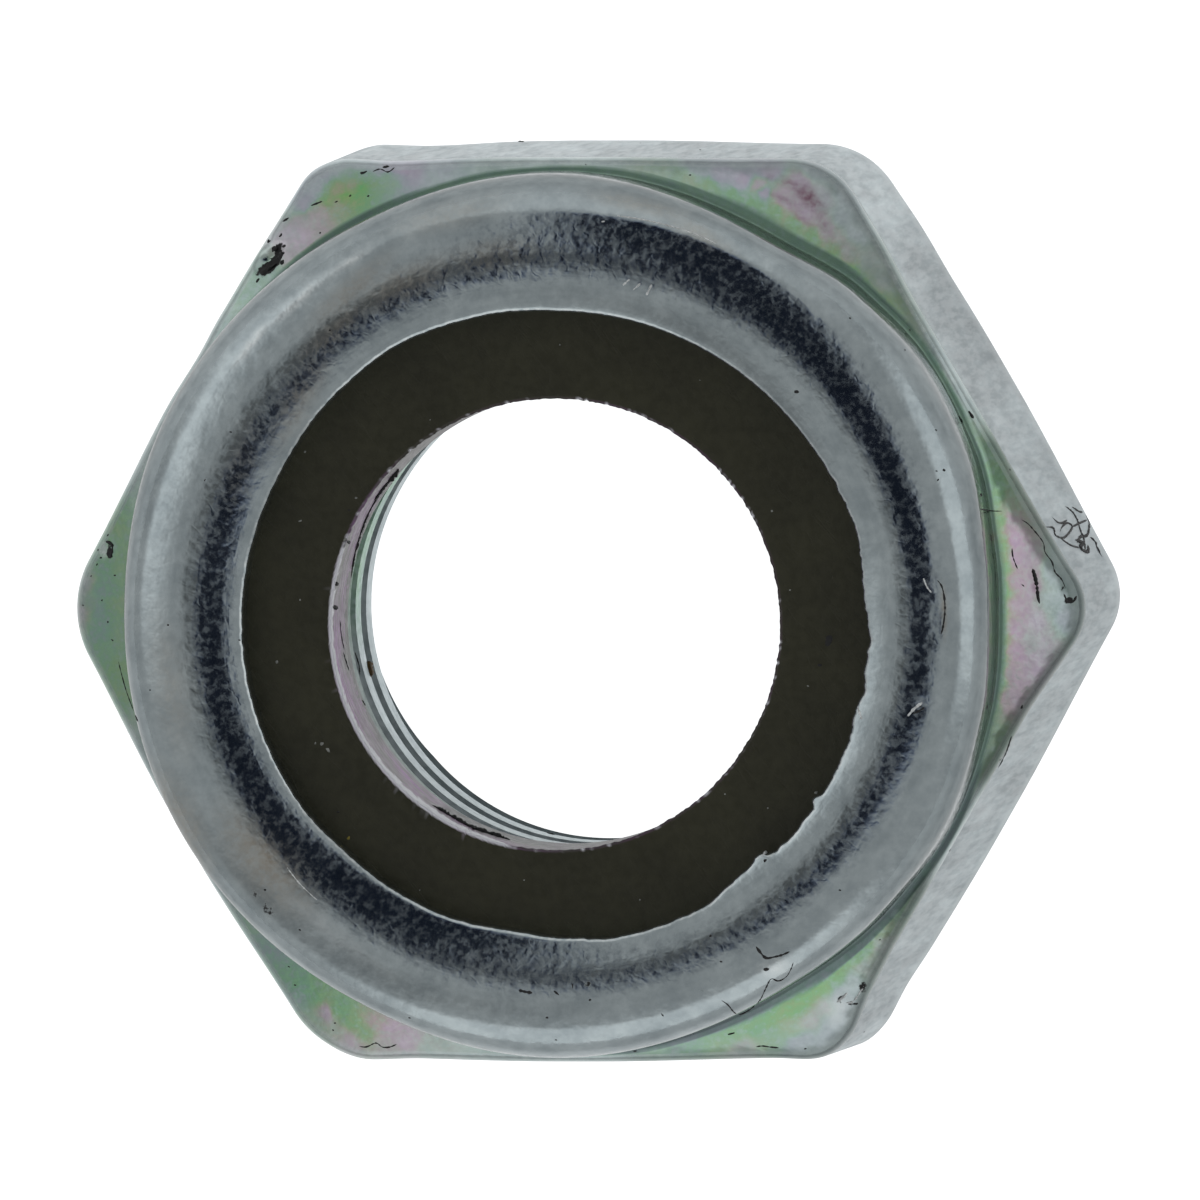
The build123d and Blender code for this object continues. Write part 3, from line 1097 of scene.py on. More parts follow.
# thin film colours: each channel swells and fades in turn as the film gets thicker
def filmGroup():
    tree, given, result = newGroup(
        "rainbowFilm",
        [
            ("Thickness", "NodeSocketFloat", 0.5),
            ("Level", "NodeSocketFloat", 0.4),
            ("Swing", "NodeSocketFloat", 0.12),
        ],
        [("Color", "NodeSocketColor")],
    )
    channels = addNode(tree, "ShaderNodeCombineColor")
    starts = (0.0, 0.55, 0.12)      # where red, green and blue are strongest
    shares = (0.85, 0.4, 0.8)       # and how much of the swing each has
    for socket, start, share in zip(channels.inputs, starts, shares):
        phase = calc(tree, "MULTIPLY", calc(tree, "SUBTRACT", given["Thickness"], start), 2 * pi)
        swing = calc(tree, "MULTIPLY", given["Swing"], share)
        wave = calc(tree, "MULTIPLY", calc(tree, "COSINE", phase), swing)
        feed(tree, socket, calc(tree, "ADD", wave, given["Level"]))
    feed(tree, result[0], channels.outputs[0])
    return tree


mottle = mottleGroup()
scratches = scratchGroup()
rainbowFilm = filmGroup()


def startMaterial(name):
    material = bpy.data.materials.new(name)
    material.use_nodes = True
    tree = material.node_tree
    place = addNode(tree, "ShaderNodeMapping")
    place.inputs["Scale"].default_value = (1 / mm, 1 / mm, 1 / mm)
    tree.links.new(addNode(tree, "ShaderNodeTexCoord").outputs["Object"], place.inputs["Vector"])
    return material, tree, place.outputs[0], tree.nodes["Principled BSDF"]


def valueOf(tree, name):
    return addNode(tree, "ShaderNodeAttribute", attribute_name=name).outputs["Fac"]


# streaks that run round the axis, fine across and long along their way
def aroundGroup():
    tree, given, result = newGroup(
        "aroundStreaks",
        [
            ("Position", "NodeSocketVector", None),
            ("Around", "NodeSocketFloat", 3.0),
            ("Across", "NodeSocketFloat", 20.0),
        ],
        [("Streaks", "NodeSocketFloat")],
    )
    flat = calcVector(tree, "MULTIPLY", given["Position"], (1, 1, 0))
    height = separate(tree, given["Position"])[2]
    way = scaled(tree, calcVector(tree, "NORMALIZE", flat), given["Around"])
    outward = calc(tree, "ADD", calcVector(tree, "LENGTH", flat), height)
    across = combine(tree, 0.0, 0.0, calc(tree, "MULTIPLY", outward, given["Across"]))
    cloud = addNode(tree, "ShaderNodeTexNoise")
    feed(tree, cloud.inputs["Vector"], calcVector(tree, "ADD", way, across))
    cloud.inputs["Scale"].default_value = 1.0
    cloud.inputs["Detail"].default_value = 2.0
    feed(tree, result[0], ramp(tree, cloud.outputs[0], 0.3, 0.7))
    return tree


aroundStreaks = aroundGroup()

zinc = {
    "light": (0.525, 0.59, 0.605, 1),
    "dark": (0.345, 0.40, 0.42, 1),
    "wornAndHighlight": (0.72, 0.76, 0.76, 1),
    "brown": (0.42, 0.37, 0.30, 1),
    "plum": (0.22, 0.13, 0.17, 1),
    "soot": (0.012, 0.012, 0.013, 1),
    # painted shade for the groove round the collar's foot and the top of the bore
    "grooveTint": (0.36, 0.42, 0.39, 1),
    "edgeShadeTint": (0.44, 0.46, 0.44, 1),
    # painted shade for the collar's upright wall
    "wallTint": (0.30, 0.31, 0.31, 1),
    "flankDark": (0.60, 0.61, 0.62, 1),
    "flankLight": (1.12, 1.12, 1.12, 1),
    "filmLevel": 0.41,
    "filmSwing": 0.16,
    "roughness": 0.085,
    "speckle": 0.09,            # how much rougher the small dull spots are
    "flankRoughness": 0.22,
    "boreRoughness": 0.34,
    "sootRoughness": 0.5,
    "flankSqueeze": 0.88,       # the flanks are seen edge on, so their pattern is drawn out upright
    "reliefHeight": 0.0009,     # mm
    "grain": {"Coarse": 1.6, "Fine": 11.0},
    "blotch": {"Coarse": 0.5, "Fine": 4.5},
    "relief": {"Coarse": 3.4, "Fine": 7.5, "Detail": 1.2, "Roughness": 0.42},
    "clouds": {"Coarse": 1.0, "Fine": 4.2},
    "streaks": {"Around": 5.0, "Across": 9.0},
    "flecks": {"Turn": 0.5, "Across": 5.0, "Along": 3.8, "Amount": 0.9},
    "cross": {"Turn": 2.0, "Across": 2.8, "Along": 2.0, "Amount": 0.7},
}


def zincMaterial():
    material, tree, position, shader = startMaterial("zincPlate")
    upright = weighted(tree, (valueOf(tree, "flank"), -zinc["flankSqueeze"]), start=1.0)
    position = calcVector(tree, "MULTIPLY", position, combine(tree, 1.0, 1.0, upright))
    grain = useGroup(tree, mottle, Position=position, **zinc["grain"])
    blotch = useGroup(tree, mottle, Position=position, **zinc["blotch"])
    relief = useGroup(tree, mottle, Position=position, **zinc["relief"])
    cloudy = useGroup(tree, mottle, Position=position, **zinc["clouds"])
    streaks = useGroup(tree, aroundStreaks, Position=position, **zinc["streaks"])[0]
    flecks = useGroup(tree, scratches, Position=position, **zinc["flecks"])[0]
    cross = useGroup(tree, scratches, Position=position, **zinc["cross"])[0]

    # plate: light and dark patches, broken up by fine grain
    patches = weighted(tree, (grain["Coarse"], 0.5), (blotch["Fine"], 0.4), (streaks, 0.2))
    colour = blendColour(tree, patches, zinc["dark"], zinc["light"])

    # the film, more vivid where its strength is above 1
    terms = ((valueOf(tree, "film"), 1.0), (grain["Coarse"], 0.12), (grain["Fine"], 0.08))
    thickness = weighted(tree, *terms, start=-0.1)
    amount = valueOf(tree, "filmAmount")
    swing = calc(tree, "MULTIPLY", calc(tree, "MAXIMUM", amount, 1.0), zinc["filmSwing"])
    film = useGroup(tree, rainbowFilm, Thickness=thickness, Level=zinc["filmLevel"], Swing=swing)
    strength = calc(tree, "MULTIPLY", amount, ramp(tree, grain["Fine"], -0.4, 0.6, 0.5, 1.0))
    colour = blendColour(tree, strength, colour, film["Color"])

    # the flanks are cloudy
    clouds = weighted(tree, (cloudy["Coarse"], 0.55), (cloudy["Fine"], 0.45))
    shade = blendColour(tree, clouds, zinc["flankDark"], zinc["flankLight"])
    flank = blendColour(tree, 1.0, colour, shade, "MULTIPLY")
    colour = blendColour(tree, valueOf(tree, "flank"), colour, flank)

    # rubbed edges, partly worn bright and partly a painted highlight, and stains, with ragged edges
    wornAndHighlight = calc(tree, "MULTIPLY", valueOf(tree, "wear"), grain["Fine"])
    colour = blendColour(tree, wornAndHighlight, colour, zinc["wornAndHighlight"])
    ragged = weighted(tree, (grain["Fine"], 0.5), (blotch["Fine"], 0.3))
    edge = calc(tree, "ADD", ragged, 0.4)
    for name, shade in (("brownStain", "brown"), ("plumStain", "plum"), ("lightStain", "wornAndHighlight")):
        amount = calc(tree, "MULTIPLY", valueOf(tree, name), edge, clamp=True)
        colour = blendColour(tree, amount, colour, zinc[shade])
    darkest = weighted(tree, (valueOf(tree, "darkStain"), 1.3), (ragged, 1.0), start=-0.9)
    soot = ramp(tree, darkest, 0.1, 0.35)
    colour = blendColour(tree, soot, colour, zinc["soot"])
    # painted shade, multiplied into the colour: the groove and the top of the bore, the band along the
    # hexagon's edge, the collar's wall
    for name in ("groove", "edgeShade", "wall"):
        colour = blendColour(tree, valueOf(tree, name), colour, zinc[name + "Tint"], "MULTIPLY")
    feed(tree, shader.inputs["Base Color"], colour)
    feed(tree, shader.inputs["Metallic"], calc(tree, "SUBTRACT", 1.0, soot))

    speckles = ramp(tree, grain["Fine"], 0.25, 1.0, 0.0, zinc["speckle"])
    terms = (
        (grain["Fine"], 0.05),
        (speckles, 1.0),
        (blotch["Coarse"], 0.04),
        (valueOf(tree, "flank"), zinc["flankRoughness"]),
        (valueOf(tree, "bore"), zinc["boreRoughness"]),
        (soot, zinc["sootRoughness"]),
    )
    feed(tree, shader.inputs["Roughness"], weighted(tree, *terms, start=zinc["roughness"]))
    bump = addNode(tree, "ShaderNodeBump")
    bump.inputs["Strength"].default_value = 1.0
    bump.inputs["Distance"].default_value = zinc["reliefHeight"] * mm
    terms = (
        (relief["Coarse"], 1.5),
        (relief["Fine"], 1.1),
        (streaks, 0.5),
        (flecks, -0.36),
        (cross, -0.36),
    )
    feed(tree, bump.inputs["Height"], weighted(tree, *terms))
    feed(tree, shader.inputs["Normal"], bump.outputs[0])
    return material


nylon = {
    "colour": (0.031, 0.030, 0.0115, 1),
    "deep": (0.017, 0.0165, 0.0045, 1),
    "hole": (0.15, 0.155, 0.145, 1),
    "mauve": (0.40, 0.10, 0.46, 1),
    "paleRim": (0.80, 0.80, 0.86, 1),
    # colour of the black patch and of the painted shadow in the hole
    "blackened": (0.012, 0.012, 0.014, 1),
    "roughness": 0.38,
    "reliefHeight": 0.0020,     # mm
    "clouds": {"Coarse": 0.9, "Fine": 7.0},
    "scratches": {"Turn": 0.9, "Across": 5.0, "Along": 0.5, "Amount": 0.1},
    "streaks": {"Around": 6.0, "Across": 16.0},
}


def nylonMaterial():
    material, tree, position, shader = startMaterial("darkNylon")
    cloud = useGroup(tree, mottle, Position=position, **nylon["clouds"])
    lines = useGroup(tree, scratches, Position=position, **nylon["scratches"])[0]
    turning = useGroup(tree, aroundStreaks, Position=position, **nylon["streaks"])[0]
    hole = valueOf(tree, "hole")
    clouds = weighted(tree, (cloud["Coarse"], 0.6), (cloud["Fine"], 0.4))
    colour = blendColour(tree, clouds, nylon["deep"], nylon["colour"])
    rubbed = calc(tree, "MULTIPLY", hole, ramp(tree, turning, 0.1, 0.8, 0.3, 1.0))
    holeColour = blendColour(tree, cloud["Coarse"], nylon["hole"], nylon["mauve"])
    colour = blendColour(tree, rubbed, colour, holeColour)
    for name in ("paleRim", "blackened"):
        colour = blendColour(tree, valueOf(tree, name), colour, nylon[name])
    feed(tree, shader.inputs["Base Color"], colour)
    feed(tree, shader.inputs["Roughness"], weighted(tree, (cloud["Fine"], 0.1), start=nylon["roughness"]))
    bump = addNode(tree, "ShaderNodeBump")
    bump.inputs["Distance"].default_value = nylon["reliefHeight"] * mm
    height = weighted(tree, (cloud["Fine"], 1.0), (lines, -1.0), (turning, hole))
    feed(tree, bump.inputs["Height"], height)
    feed(tree, shader.inputs["Normal"], bump.outputs[0])
    return material


zincPlate = zincMaterial()
darkNylon = nylonMaterial()

print("thread")
body, bodySurface = makeBody()
applyTree(body, threadTree(), {
    "Pitch": thread["pitch"] * mm,
    "Crest Radius": nut["boreRadius"] * mm,
    "Depth": thread["depth"] * mm,
    "Crest Flat": thread["crestFlat"],
    "Root Flat": thread["rootFlat"],
    "Crest Height": thread["crestHeight"] * mm,
    "Top": (nut["pocketFloor"] - nut["seatGap"]) * mm,
    "Fade": thread["fadeHeight"] * mm,
    "Axis": Vector((*nut["boreShift"], 0)) * mm,
    "Material": zincPlate,
})
shadeSmooth(body.data)

print("nylon ring")

ring = {
    "top": 7.4,
    "bottom": 5.4,
    "outerRadius": 5.42,
    "bevel": 0.35,
    "holeRadius": 3.2,
    "holeShift": (-0.05, -0.13),
    "holeRound": 0.05,
    "ragged": 0.014,                # mm, how ragged the hole's rim is
    "rimGrain": (35, 80),           # how often the ragged rim turns
    "tears": ((28, 0.14), (80, 0.16)),      # how often and how far the marks in the hole are torn
    "wallReach": (0.045, 0.02),     # past the hole's radius its marks fade out
    "patchSoft": (3, 0.05),         # degrees and mm
    "paleSoft": (0.02, 0.04),
    "holeRows": 26,
    "shadow": (5.8, 130, 214),      # highest height and the angles of the painted shadow at the foot of the hole
    "blackened": (6.35, 236, 265),      # highest height and the angles of the black patch in the hole
    "angles": 480,
}
# height down to which the rim of the hole is torn and pale, and how rubbed its wall is, by degrees
tornRim = (
    (0, 7.45), (156, 7.45), (166, 7.2), (205, 7.14), (218, 7.0), (235, 6.9), (250, 6.95), (262, 7.45),
    (360, 7.45),
)
rubbedWall = ((0, 0.15), (130, 0.15), (160, 1.0), (235, 1.0), (262, 0.4), (285, 0.15), (360, 0.15))


def ringSectionAt(angle):
    out = Vector((cos(angle), sin(angle), 0))

    def at(radius, height, shift=(0, 0)):
        return Vector((*shift, 0)) + out * radius + Vector((0, 0, height))

    top = ring["top"]
    bottom = ring["bottom"]
    hole = ring["holeRadius"]
    soft = ring["holeRound"]
    shift = ring["holeShift"]
    outer = ring["outerRadius"]
    bevel = ring["bevel"]
    coarse, fine = ring["rimGrain"]
    torn = hole + ring["ragged"] * (noise.noise(out * coarse) + noise.noise(out * fine))
    points = lineOf(at(hole, bottom + soft, shift), at(torn, top - soft, shift), ring["holeRows"])
    points += bendOf(at(torn, top - soft, shift), at(torn, top, shift), at(torn + soft, top, shift), 4)
    points += lineOf(at(torn + soft, top, shift), at(outer - bevel, top), 16)
    points += lineOf(at(outer - bevel, top), at(outer, top - bevel), 2)
    points += lineOf(at(outer, top - bevel), at(outer, bottom), 2)
    points += lineOf(at(outer, bottom), at(hole + soft, bottom, shift), 4)
    corner = at(hole, bottom, shift)
    points += bendOf(at(hole + soft, bottom, shift), corner, at(hole, bottom + soft, shift), 3)
    return points


def weld(mesh):
    work = bmesh.new()
    work.from_mesh(mesh)
    bmesh.ops.remove_doubles(work, verts=work.verts, dist=weldDistance)
    work.to_mesh(mesh)
    work.free()


# marks in the hole: rubbed wall, torn pale rim, a black patch and a painted shadow at the hole's foot
def paintRing(mesh):
    values = {"hole": [], "paleRim": [], "blackened": []}
    outside, inside = (ring["holeRadius"] + reach for reach in ring["wallReach"])
    side, rise = ring["patchSoft"]
    below, above = ring["paleSoft"]
    for place in placesOf(mesh):
        fromAxis = place.xy - Vector(ring["holeShift"])
        turn = atan2(fromAxis.y, fromAxis.x)
        degrees = (turn * 180 / pi) % 360
        out = Vector((fromAxis.x, fromAxis.y, 0)).normalized()
        torn = sum(strength * noise.noise(out * scale) for scale, strength in ring["tears"])
        inHole = smoothStep(outside, inside, fromAxis.length)
        rimLow = roundTheCircle(tornRim, turn)
        dark = 0.0
        # a black patch, then a painted shadow at the hole's foot
        for top, start, end in (ring["blackened"], ring["shadow"]):
            patch = smoothStep(start - side, start + side, degrees)
            patch *= smoothStep(end + side, end - side, degrees)
            dark = max(dark, patch * smoothStep(top + rise, top - rise, place.z + 1.5 * torn))
        values["hole"].append(inHole * roundTheCircle(rubbedWall, turn))
        values["paleRim"].append(inHole * smoothStep(rimLow - below, rimLow + above, place.z + torn))
        values["blackened"].append(inHole * dark)
    for name in values:
        setValues(mesh, name, values[name])


ringMesh = skinOf("nylonRing", ringSectionAt, ring["angles"])
paintRing(ringMesh)
weld(ringMesh)
ringMesh.materials.append(darkNylon)
shadeSmooth(ringMesh)
ringPiece = newPiece("nylonRing", ringMesh)

print("marks")

# Fine lines of black residue and bright burrs, with pale lines that are a painted highlight and a painted
# glint on the collar's ridge. Each has its width and its path in pixels.
darkLines = {
    "collarHairThick": (3.2, (
        (755, 945), (760, 952), (766, 958), (774, 957), (782, 955), (791, 951),
    )),
    "collarHairThin": (1.7, (
        (794, 960), (791, 969), (786, 977), (778, 981), (771, 979), (765, 990), (760, 1000),
        (752, 1008), (742, 1014), (735, 1013), (728, 1005), (721, 1000),
    )),
    "lowerDashLeft": (4.0, ((518, 990), (526, 992), (534, 993))),
    "lowerDashRight": (3.0, ((553, 990), (560, 996))),
    "lowerTick": (2.0, ((572, 982), (573, 990))),
    "bottomTick": (2.0, ((660, 1012), (664, 1017))),
    "rightLens": (2.4, ((934, 577), (942, 587), (945, 607), (943, 627), (940, 637))),
    "rightWedge": (2.4, ((912, 714), (919, 711), (925, 707))),
    "upperLeftStreak": (3.0, ((282, 222), (290, 217))),
    "upperLeftDash": (2.2, ((310, 206), (323, 201))),
    "upperLeftCurl": (2.0, ((372, 172), (380, 169), (388, 172), (395, 167))),
    "leftBracket": (4.0, ((105, 541), (112, 545), (111, 556), (108, 558))),
    "lowerLeftEdge": (1.8, (
        (358, 1046), (366, 1047), (376, 1043), (382, 1047), (390, 1047), (399, 1043),
    )),
    "lowerRightEdge": (1.8, ((755, 1047), (762, 1046), (770, 1047), (780, 1048))),
    "netA": (2.7, ((1065, 506), (1072, 512), (1077, 520), (1080, 530), (1084, 541), (1085, 553))),
    "netB": (2.9, (
        (1080, 499), (1087, 505), (1086, 515), (1089, 523), (1087, 535), (1080, 537), (1077, 543),
    )),
    "netC": (2.4, (
        (1043, 527), (1053, 528), (1055, 535), (1062, 538), (1067, 535), (1072, 527), (1067, 523),
        (1062, 527), (1060, 532),
    )),
    "netD": (2.3, ((1052, 517), (1057, 522), (1062, 523), (1067, 520))),
    "netE": (2.2, ((1072, 527), (1080, 523), (1087, 520))),
    "netH": (2.3, ((1060, 538), (1070, 545), (1080, 548))),
    "netI": (2.4, ((1072, 507), (1080, 512), (1086, 511))),
    "netF": (4.4, ((1075, 540), (1082, 543), (1080, 548), (1087, 552), (1088, 545))),
    "netG": (2.6, ((1090, 537), (1095, 542), (1097, 548), (1102, 557))),
    "rightSeam": (1.7, (
        (1017, 517), (1027, 523), (1032, 528), (1043, 542), (1045, 552), (1052, 562), (1055, 572),
        (1062, 580), (1067, 592),
    )),
    "rightHook": (2.6, ((1063, 592), (1068, 602), (1073, 602), (1077, 595))),
    "rightScar": (4.2, ((1032, 567), (1035, 577), (1037, 587), (1038, 597), (1040, 605))),
    "rightTickA": (1.7, ((1012, 547), (1013, 557), (1018, 570))),
    "rightTickB": (1.7, ((1020, 583), (1025, 587))),
    "grooveCross": (1.3, ((980, 509), (993, 511), (1007, 511))),
    "flankDash": (3.0, ((968, 410), (974, 419))),
    "boreScratch": (1.6, ((355, 652), (359, 665), (360, 675))),
    "topTick": (2.0, ((512, 141), (524, 142))),
    "leftStreak": (1.4, ((118, 660), (126, 690), (138, 722))),
    "grooveLineA": (2.0, ((1012, 735), (1006, 752), (998, 768))),
}
brightLines = {
    # a painted highlight along the crisp ridge where the roll leaves the dome
    "ridgeHighlight": (1.8, ((610, 215), (640, 219), (670, 226), (700, 236), (722, 247))),
    "rightCurl": (2.2, ((923, 577), (927, 587), (932, 593))),
    "rightSlash": (3.4, ((907, 717), (914, 709), (923, 702))),
    "slantA": (2.6, ((632, 291), (641, 283))),
    "slantB": (2.6, ((646, 296), (652, 284))),
    "slantC": (2.2, ((622, 286), (630, 279))),
    "lipCurl": (3.0, ((761, 858), (766, 852), (771, 850))),
    "lipStrip": (3.0, ((855, 697), (858, 708), (862, 720))),
    "lipShavingA": (2.4, ((790, 828), (798, 818), (806, 808))),
    "lipShavingB": (2.0, ((800, 822), (808, 812), (815, 800))),
    "lowerRightBurrA": (2.6, ((836, 1003), (842, 998), (848, 992))),
    "lowerRightBurrB": (2.6, ((845, 1003), (852, 1002), (856, 998), (860, 992), (864, 986))),
    "lowerLeftScratch": (1.6, ((286, 866), (300, 884), (318, 901))),
    # a painted glint on the same ridge
    "topGlint": (2.2, ((600, 222), (606, 221))),
}

# the same on the wall of the ring's hole, where the line along the hole's foot is a painted shadow
holeLines = {
    "footShadowLine": (3.6, (
        (397, 471), (388, 482), (380, 492), (373, 504), (365, 520), (359, 538), (354, 556),
        (351.5, 574), (350, 592), (349.5, 610), (350, 626), (352, 636),
    )),
    "footPatch": (9.0, ((398, 469), (392, 476), (388, 481))),
    "footPatchTail": (5.0, ((388, 481), (380, 491), (374, 500))),
    "crescent": (6.5, ((432, 805), (450, 816), (470, 827), (490, 834), (510, 840))),
    "rimDotA": (4.0, ((334, 584), (338, 584))),
    "rimDotB": (4.0, ((333, 607), (337, 608))),
    "wallDot": (3.0, ((347, 541), (350, 543))),
    "streakA": (1.8, ((343, 652), (346, 662), (349, 671))),
    "streakB": (1.6, ((340, 620), (341, 634), (344, 650))),
    "streakC": (1.8, ((362, 700), (370, 713), (378, 725))),
}
# a dried brown drop on the first crest
brownLines = {"drop": (9.0, ((368, 663), (369, 670), (371, 677)))}

# Black flecks: pixel, length and width in pixels, turn in degrees
darkFlecks = (
    (272, 264, 17, 9, 40), (281, 256, 9, 5, 60), (265, 272, 9, 5, 50), (274, 248, 7, 5, 70),
    (281, 235, 6, 3, 50), (258, 281, 6, 3, 55), (281, 263, 9, 6, 10), (284, 246, 5, 3, 0),
    (268, 241, 4, 3, 80), (368, 196, 3, 3, 0), (320, 233, 4, 2, 40), (336, 202, 4, 2, 0),
    (350, 196, 3, 2, 30), (363, 173, 8, 3, 10), (386, 167, 7, 3, 0), (110, 551, 5, 4, 80),
    (98, 550, 3, 2, 0), (101, 558, 3, 2, 0), (97, 565, 3, 2, 40), (91, 576, 3, 2, 0),
    (108, 535, 3, 2, 60), (83, 605, 3, 2, 0), (289, 967, 3, 2, 0), (295, 985, 3, 2, 0),
    (335, 1023, 3, 2, 20), (333, 1030, 2, 2, 0), (766, 969, 6, 3, 10), (547, 1018, 4, 3, 0),
    (635, 1051, 4, 2, 0), (710, 936, 3, 3, 0), (721, 962, 3, 2, 0), (991, 538, 7, 6, 0),
    (981, 495, 3, 3, 0), (987, 707, 4, 3, 0), (944, 470, 4, 4, 0), (938, 480, 3, 2, 40),
    (936, 430, 3, 2, 0), (862, 988, 6, 4, 50), (854, 1004, 5, 2, 0), (805, 1049, 3, 2, 0),
    (864, 1032, 2, 2, 0), (732, 1033, 7, 2, 5), (765, 861, 4, 3, 30), (797, 392, 5, 4, 0),
    (106, 520, 3, 2, 0), (115, 575, 3, 2, 0), (102, 600, 3, 2, 30), (108, 622, 3, 2, 0),
    (112, 640, 4, 2, 0), (390, 484, 8, 5, 50), (551, 834, 8, 4, 20), (240, 640, 3, 2, 0),
    (168, 625, 3, 2, 0), (205, 480, 3, 2, 60), (231, 432, 3, 2, 0), (330, 330, 3, 2, 0),
    (700, 150, 3, 2, 0), (575, 137, 4, 2, 0), (640, 143, 3, 2, 20), (910, 330, 3, 2, 60),
    (1010, 470, 4, 2, 50), (1000, 760, 3, 2, 0), (1086, 505, 6, 5, 0), (1022, 707, 5, 3, 50),
    (987, 708, 3, 3, 0), (950, 850, 3, 2, 30), (920, 706, 3, 2, 0), (880, 940, 3, 2, 0),
    (430, 300, 3, 2, 0), (520, 255, 3, 2, 0), (410, 1018, 3, 2, 0), (556, 1040, 3, 2, 0),
    (300, 930, 3, 2, 0), (265, 890, 3, 3, 0), (150, 690, 2, 2, 0), (690, 175, 3, 2, 0),
    (850, 318, 3, 2, 0), (905, 350, 3, 2, 50), (590, 1000, 3, 2, 0), (840, 890, 3, 2, 0),
)
nylonFlecks = {
    "dark": (
        (829, 640, 11, 8, 70), (820, 665, 5, 3, 0), (338, 812, 3, 2, 0), (349, 510, 3, 2, 0),
    ),
    "light": (
        (772, 511, 3, 3, 0), (816, 793, 4, 3, 0), (322, 744, 5, 3, 30), (328, 750, 6, 4, -40),
        (315, 743, 3, 2, 60), (808, 686, 3, 2, 0), (768, 808, 2, 2, 0), (725, 794, 2, 2, 0),
        (277, 662, 4, 3, 80), (600, 960, 3, 1, 10), (694, 940, 3, 2, 0), (524, 880, 2, 2, 0),
        (305, 452, 3, 2, 40), (300, 521, 4, 2, 20), (356, 498, 3, 2, 0), (345, 540, 4, 3, 60),
        (430, 420, 2, 1, 0), (560, 345, 2, 2, 0), (700, 380, 2, 1, 0), (790, 590, 2, 2, 0),
        (420, 890, 2, 1, 30), (640, 900, 2, 2, 0), (300, 600, 2, 2, 0), (760, 700, 2, 1, 20),
    ),
    "yellow": ((349, 838, 5, 3, 50),),
}


lineSink = 0.22             # parts of its width that a line lies below the surface
lineEnds = (-0.06, 0.16)    # parts of its length between which a line swells from either end
lineSwell = (0.55, 1.3)     # its width wanders between these parts
pathStep = 2                # pixels
farStep = 0.6               # mm, a line breaks where its next point lies deeper in the nut
tubeSettings = {"Step": 0.03 * mm, "Sides": 6}
chipSink = 0.005            # mm
chipFlat = 0.15             # how much of its raggedness a chip keeps in height
chipSettings = {"Thickness": 0.024 * mm, "Ragged": 0.9, "Lumps": 14 / mm}
dustGrain = {"Coarse": 4.0, "Fine": 16.0}
dustDark = 0.55             # parts of the colour that are left in the dark spots


# Geometry Nodes: draws each path as a thin thread of its own width, thinner at its ends
def lineTree():
    inputs = [("Step", "NodeSocketFloat"), ("Sides", "NodeSocketInt"), ("Seed", "NodeSocketInt")]
    tree, given, result = geometryTree("drawLines", inputs)
    curve = addNode(tree, "GeometryNodeMeshToCurve")
    feed(tree, curve.inputs["Mesh"], given["Geometry"])
    bent = addNode(tree, "GeometryNodeCurveSplineType", spline_type="CATMULL_ROM")
    feed(tree, bent.inputs["Curve"], curve.outputs[0])
    steps = addNode(tree, "GeometryNodeResampleCurve", mode="LENGTH")
    feed(tree, steps.inputs["Curve"], bent.outputs[0])
    feed(tree, steps.inputs["Length"], given["Step"])
    along = addNode(tree, "GeometryNodeSplineParameter").outputs["Factor"]
    fromEnd = calc(tree, "SUBTRACT", 0.5, calc(tree, "ABSOLUTE", calc(tree, "SUBTRACT", along, 0.5)))
    taper = ramp(tree, fromEnd, *lineEnds)
    uneven = addNode(tree, "FunctionNodeRandomValue", data_type="FLOAT")
    for socket, value in zip([item for item in uneven.inputs if item.enabled], lineSwell):
        feed(tree, socket, value)
    feed(tree, uneven.inputs["Seed"], given["Seed"])
    randomSize = [item for item in uneven.outputs if item.enabled][0]
    size = calc(tree, "MULTIPLY", stored(tree, "width"), calc(tree, "MULTIPLY", taper, randomSize))
    profile = addNode(tree, "GeometryNodeCurvePrimitiveCircle")
    feed(tree, profile.inputs["Resolution"], given["Sides"])
    profile.inputs["Radius"].default_value = 0.5
    tube = addNode(tree, "GeometryNodeCurveToMesh")
    feed(tree, tube.inputs["Curve"], steps.outputs[0])
    feed(tree, tube.inputs["Profile Curve"], profile.outputs[0])
    feed(tree, tube.inputs["Scale"], size)
    tube.inputs["Fill Caps"].default_value = True
    endTree(tree, tube.outputs[0], given["Material"], result)
    return tree


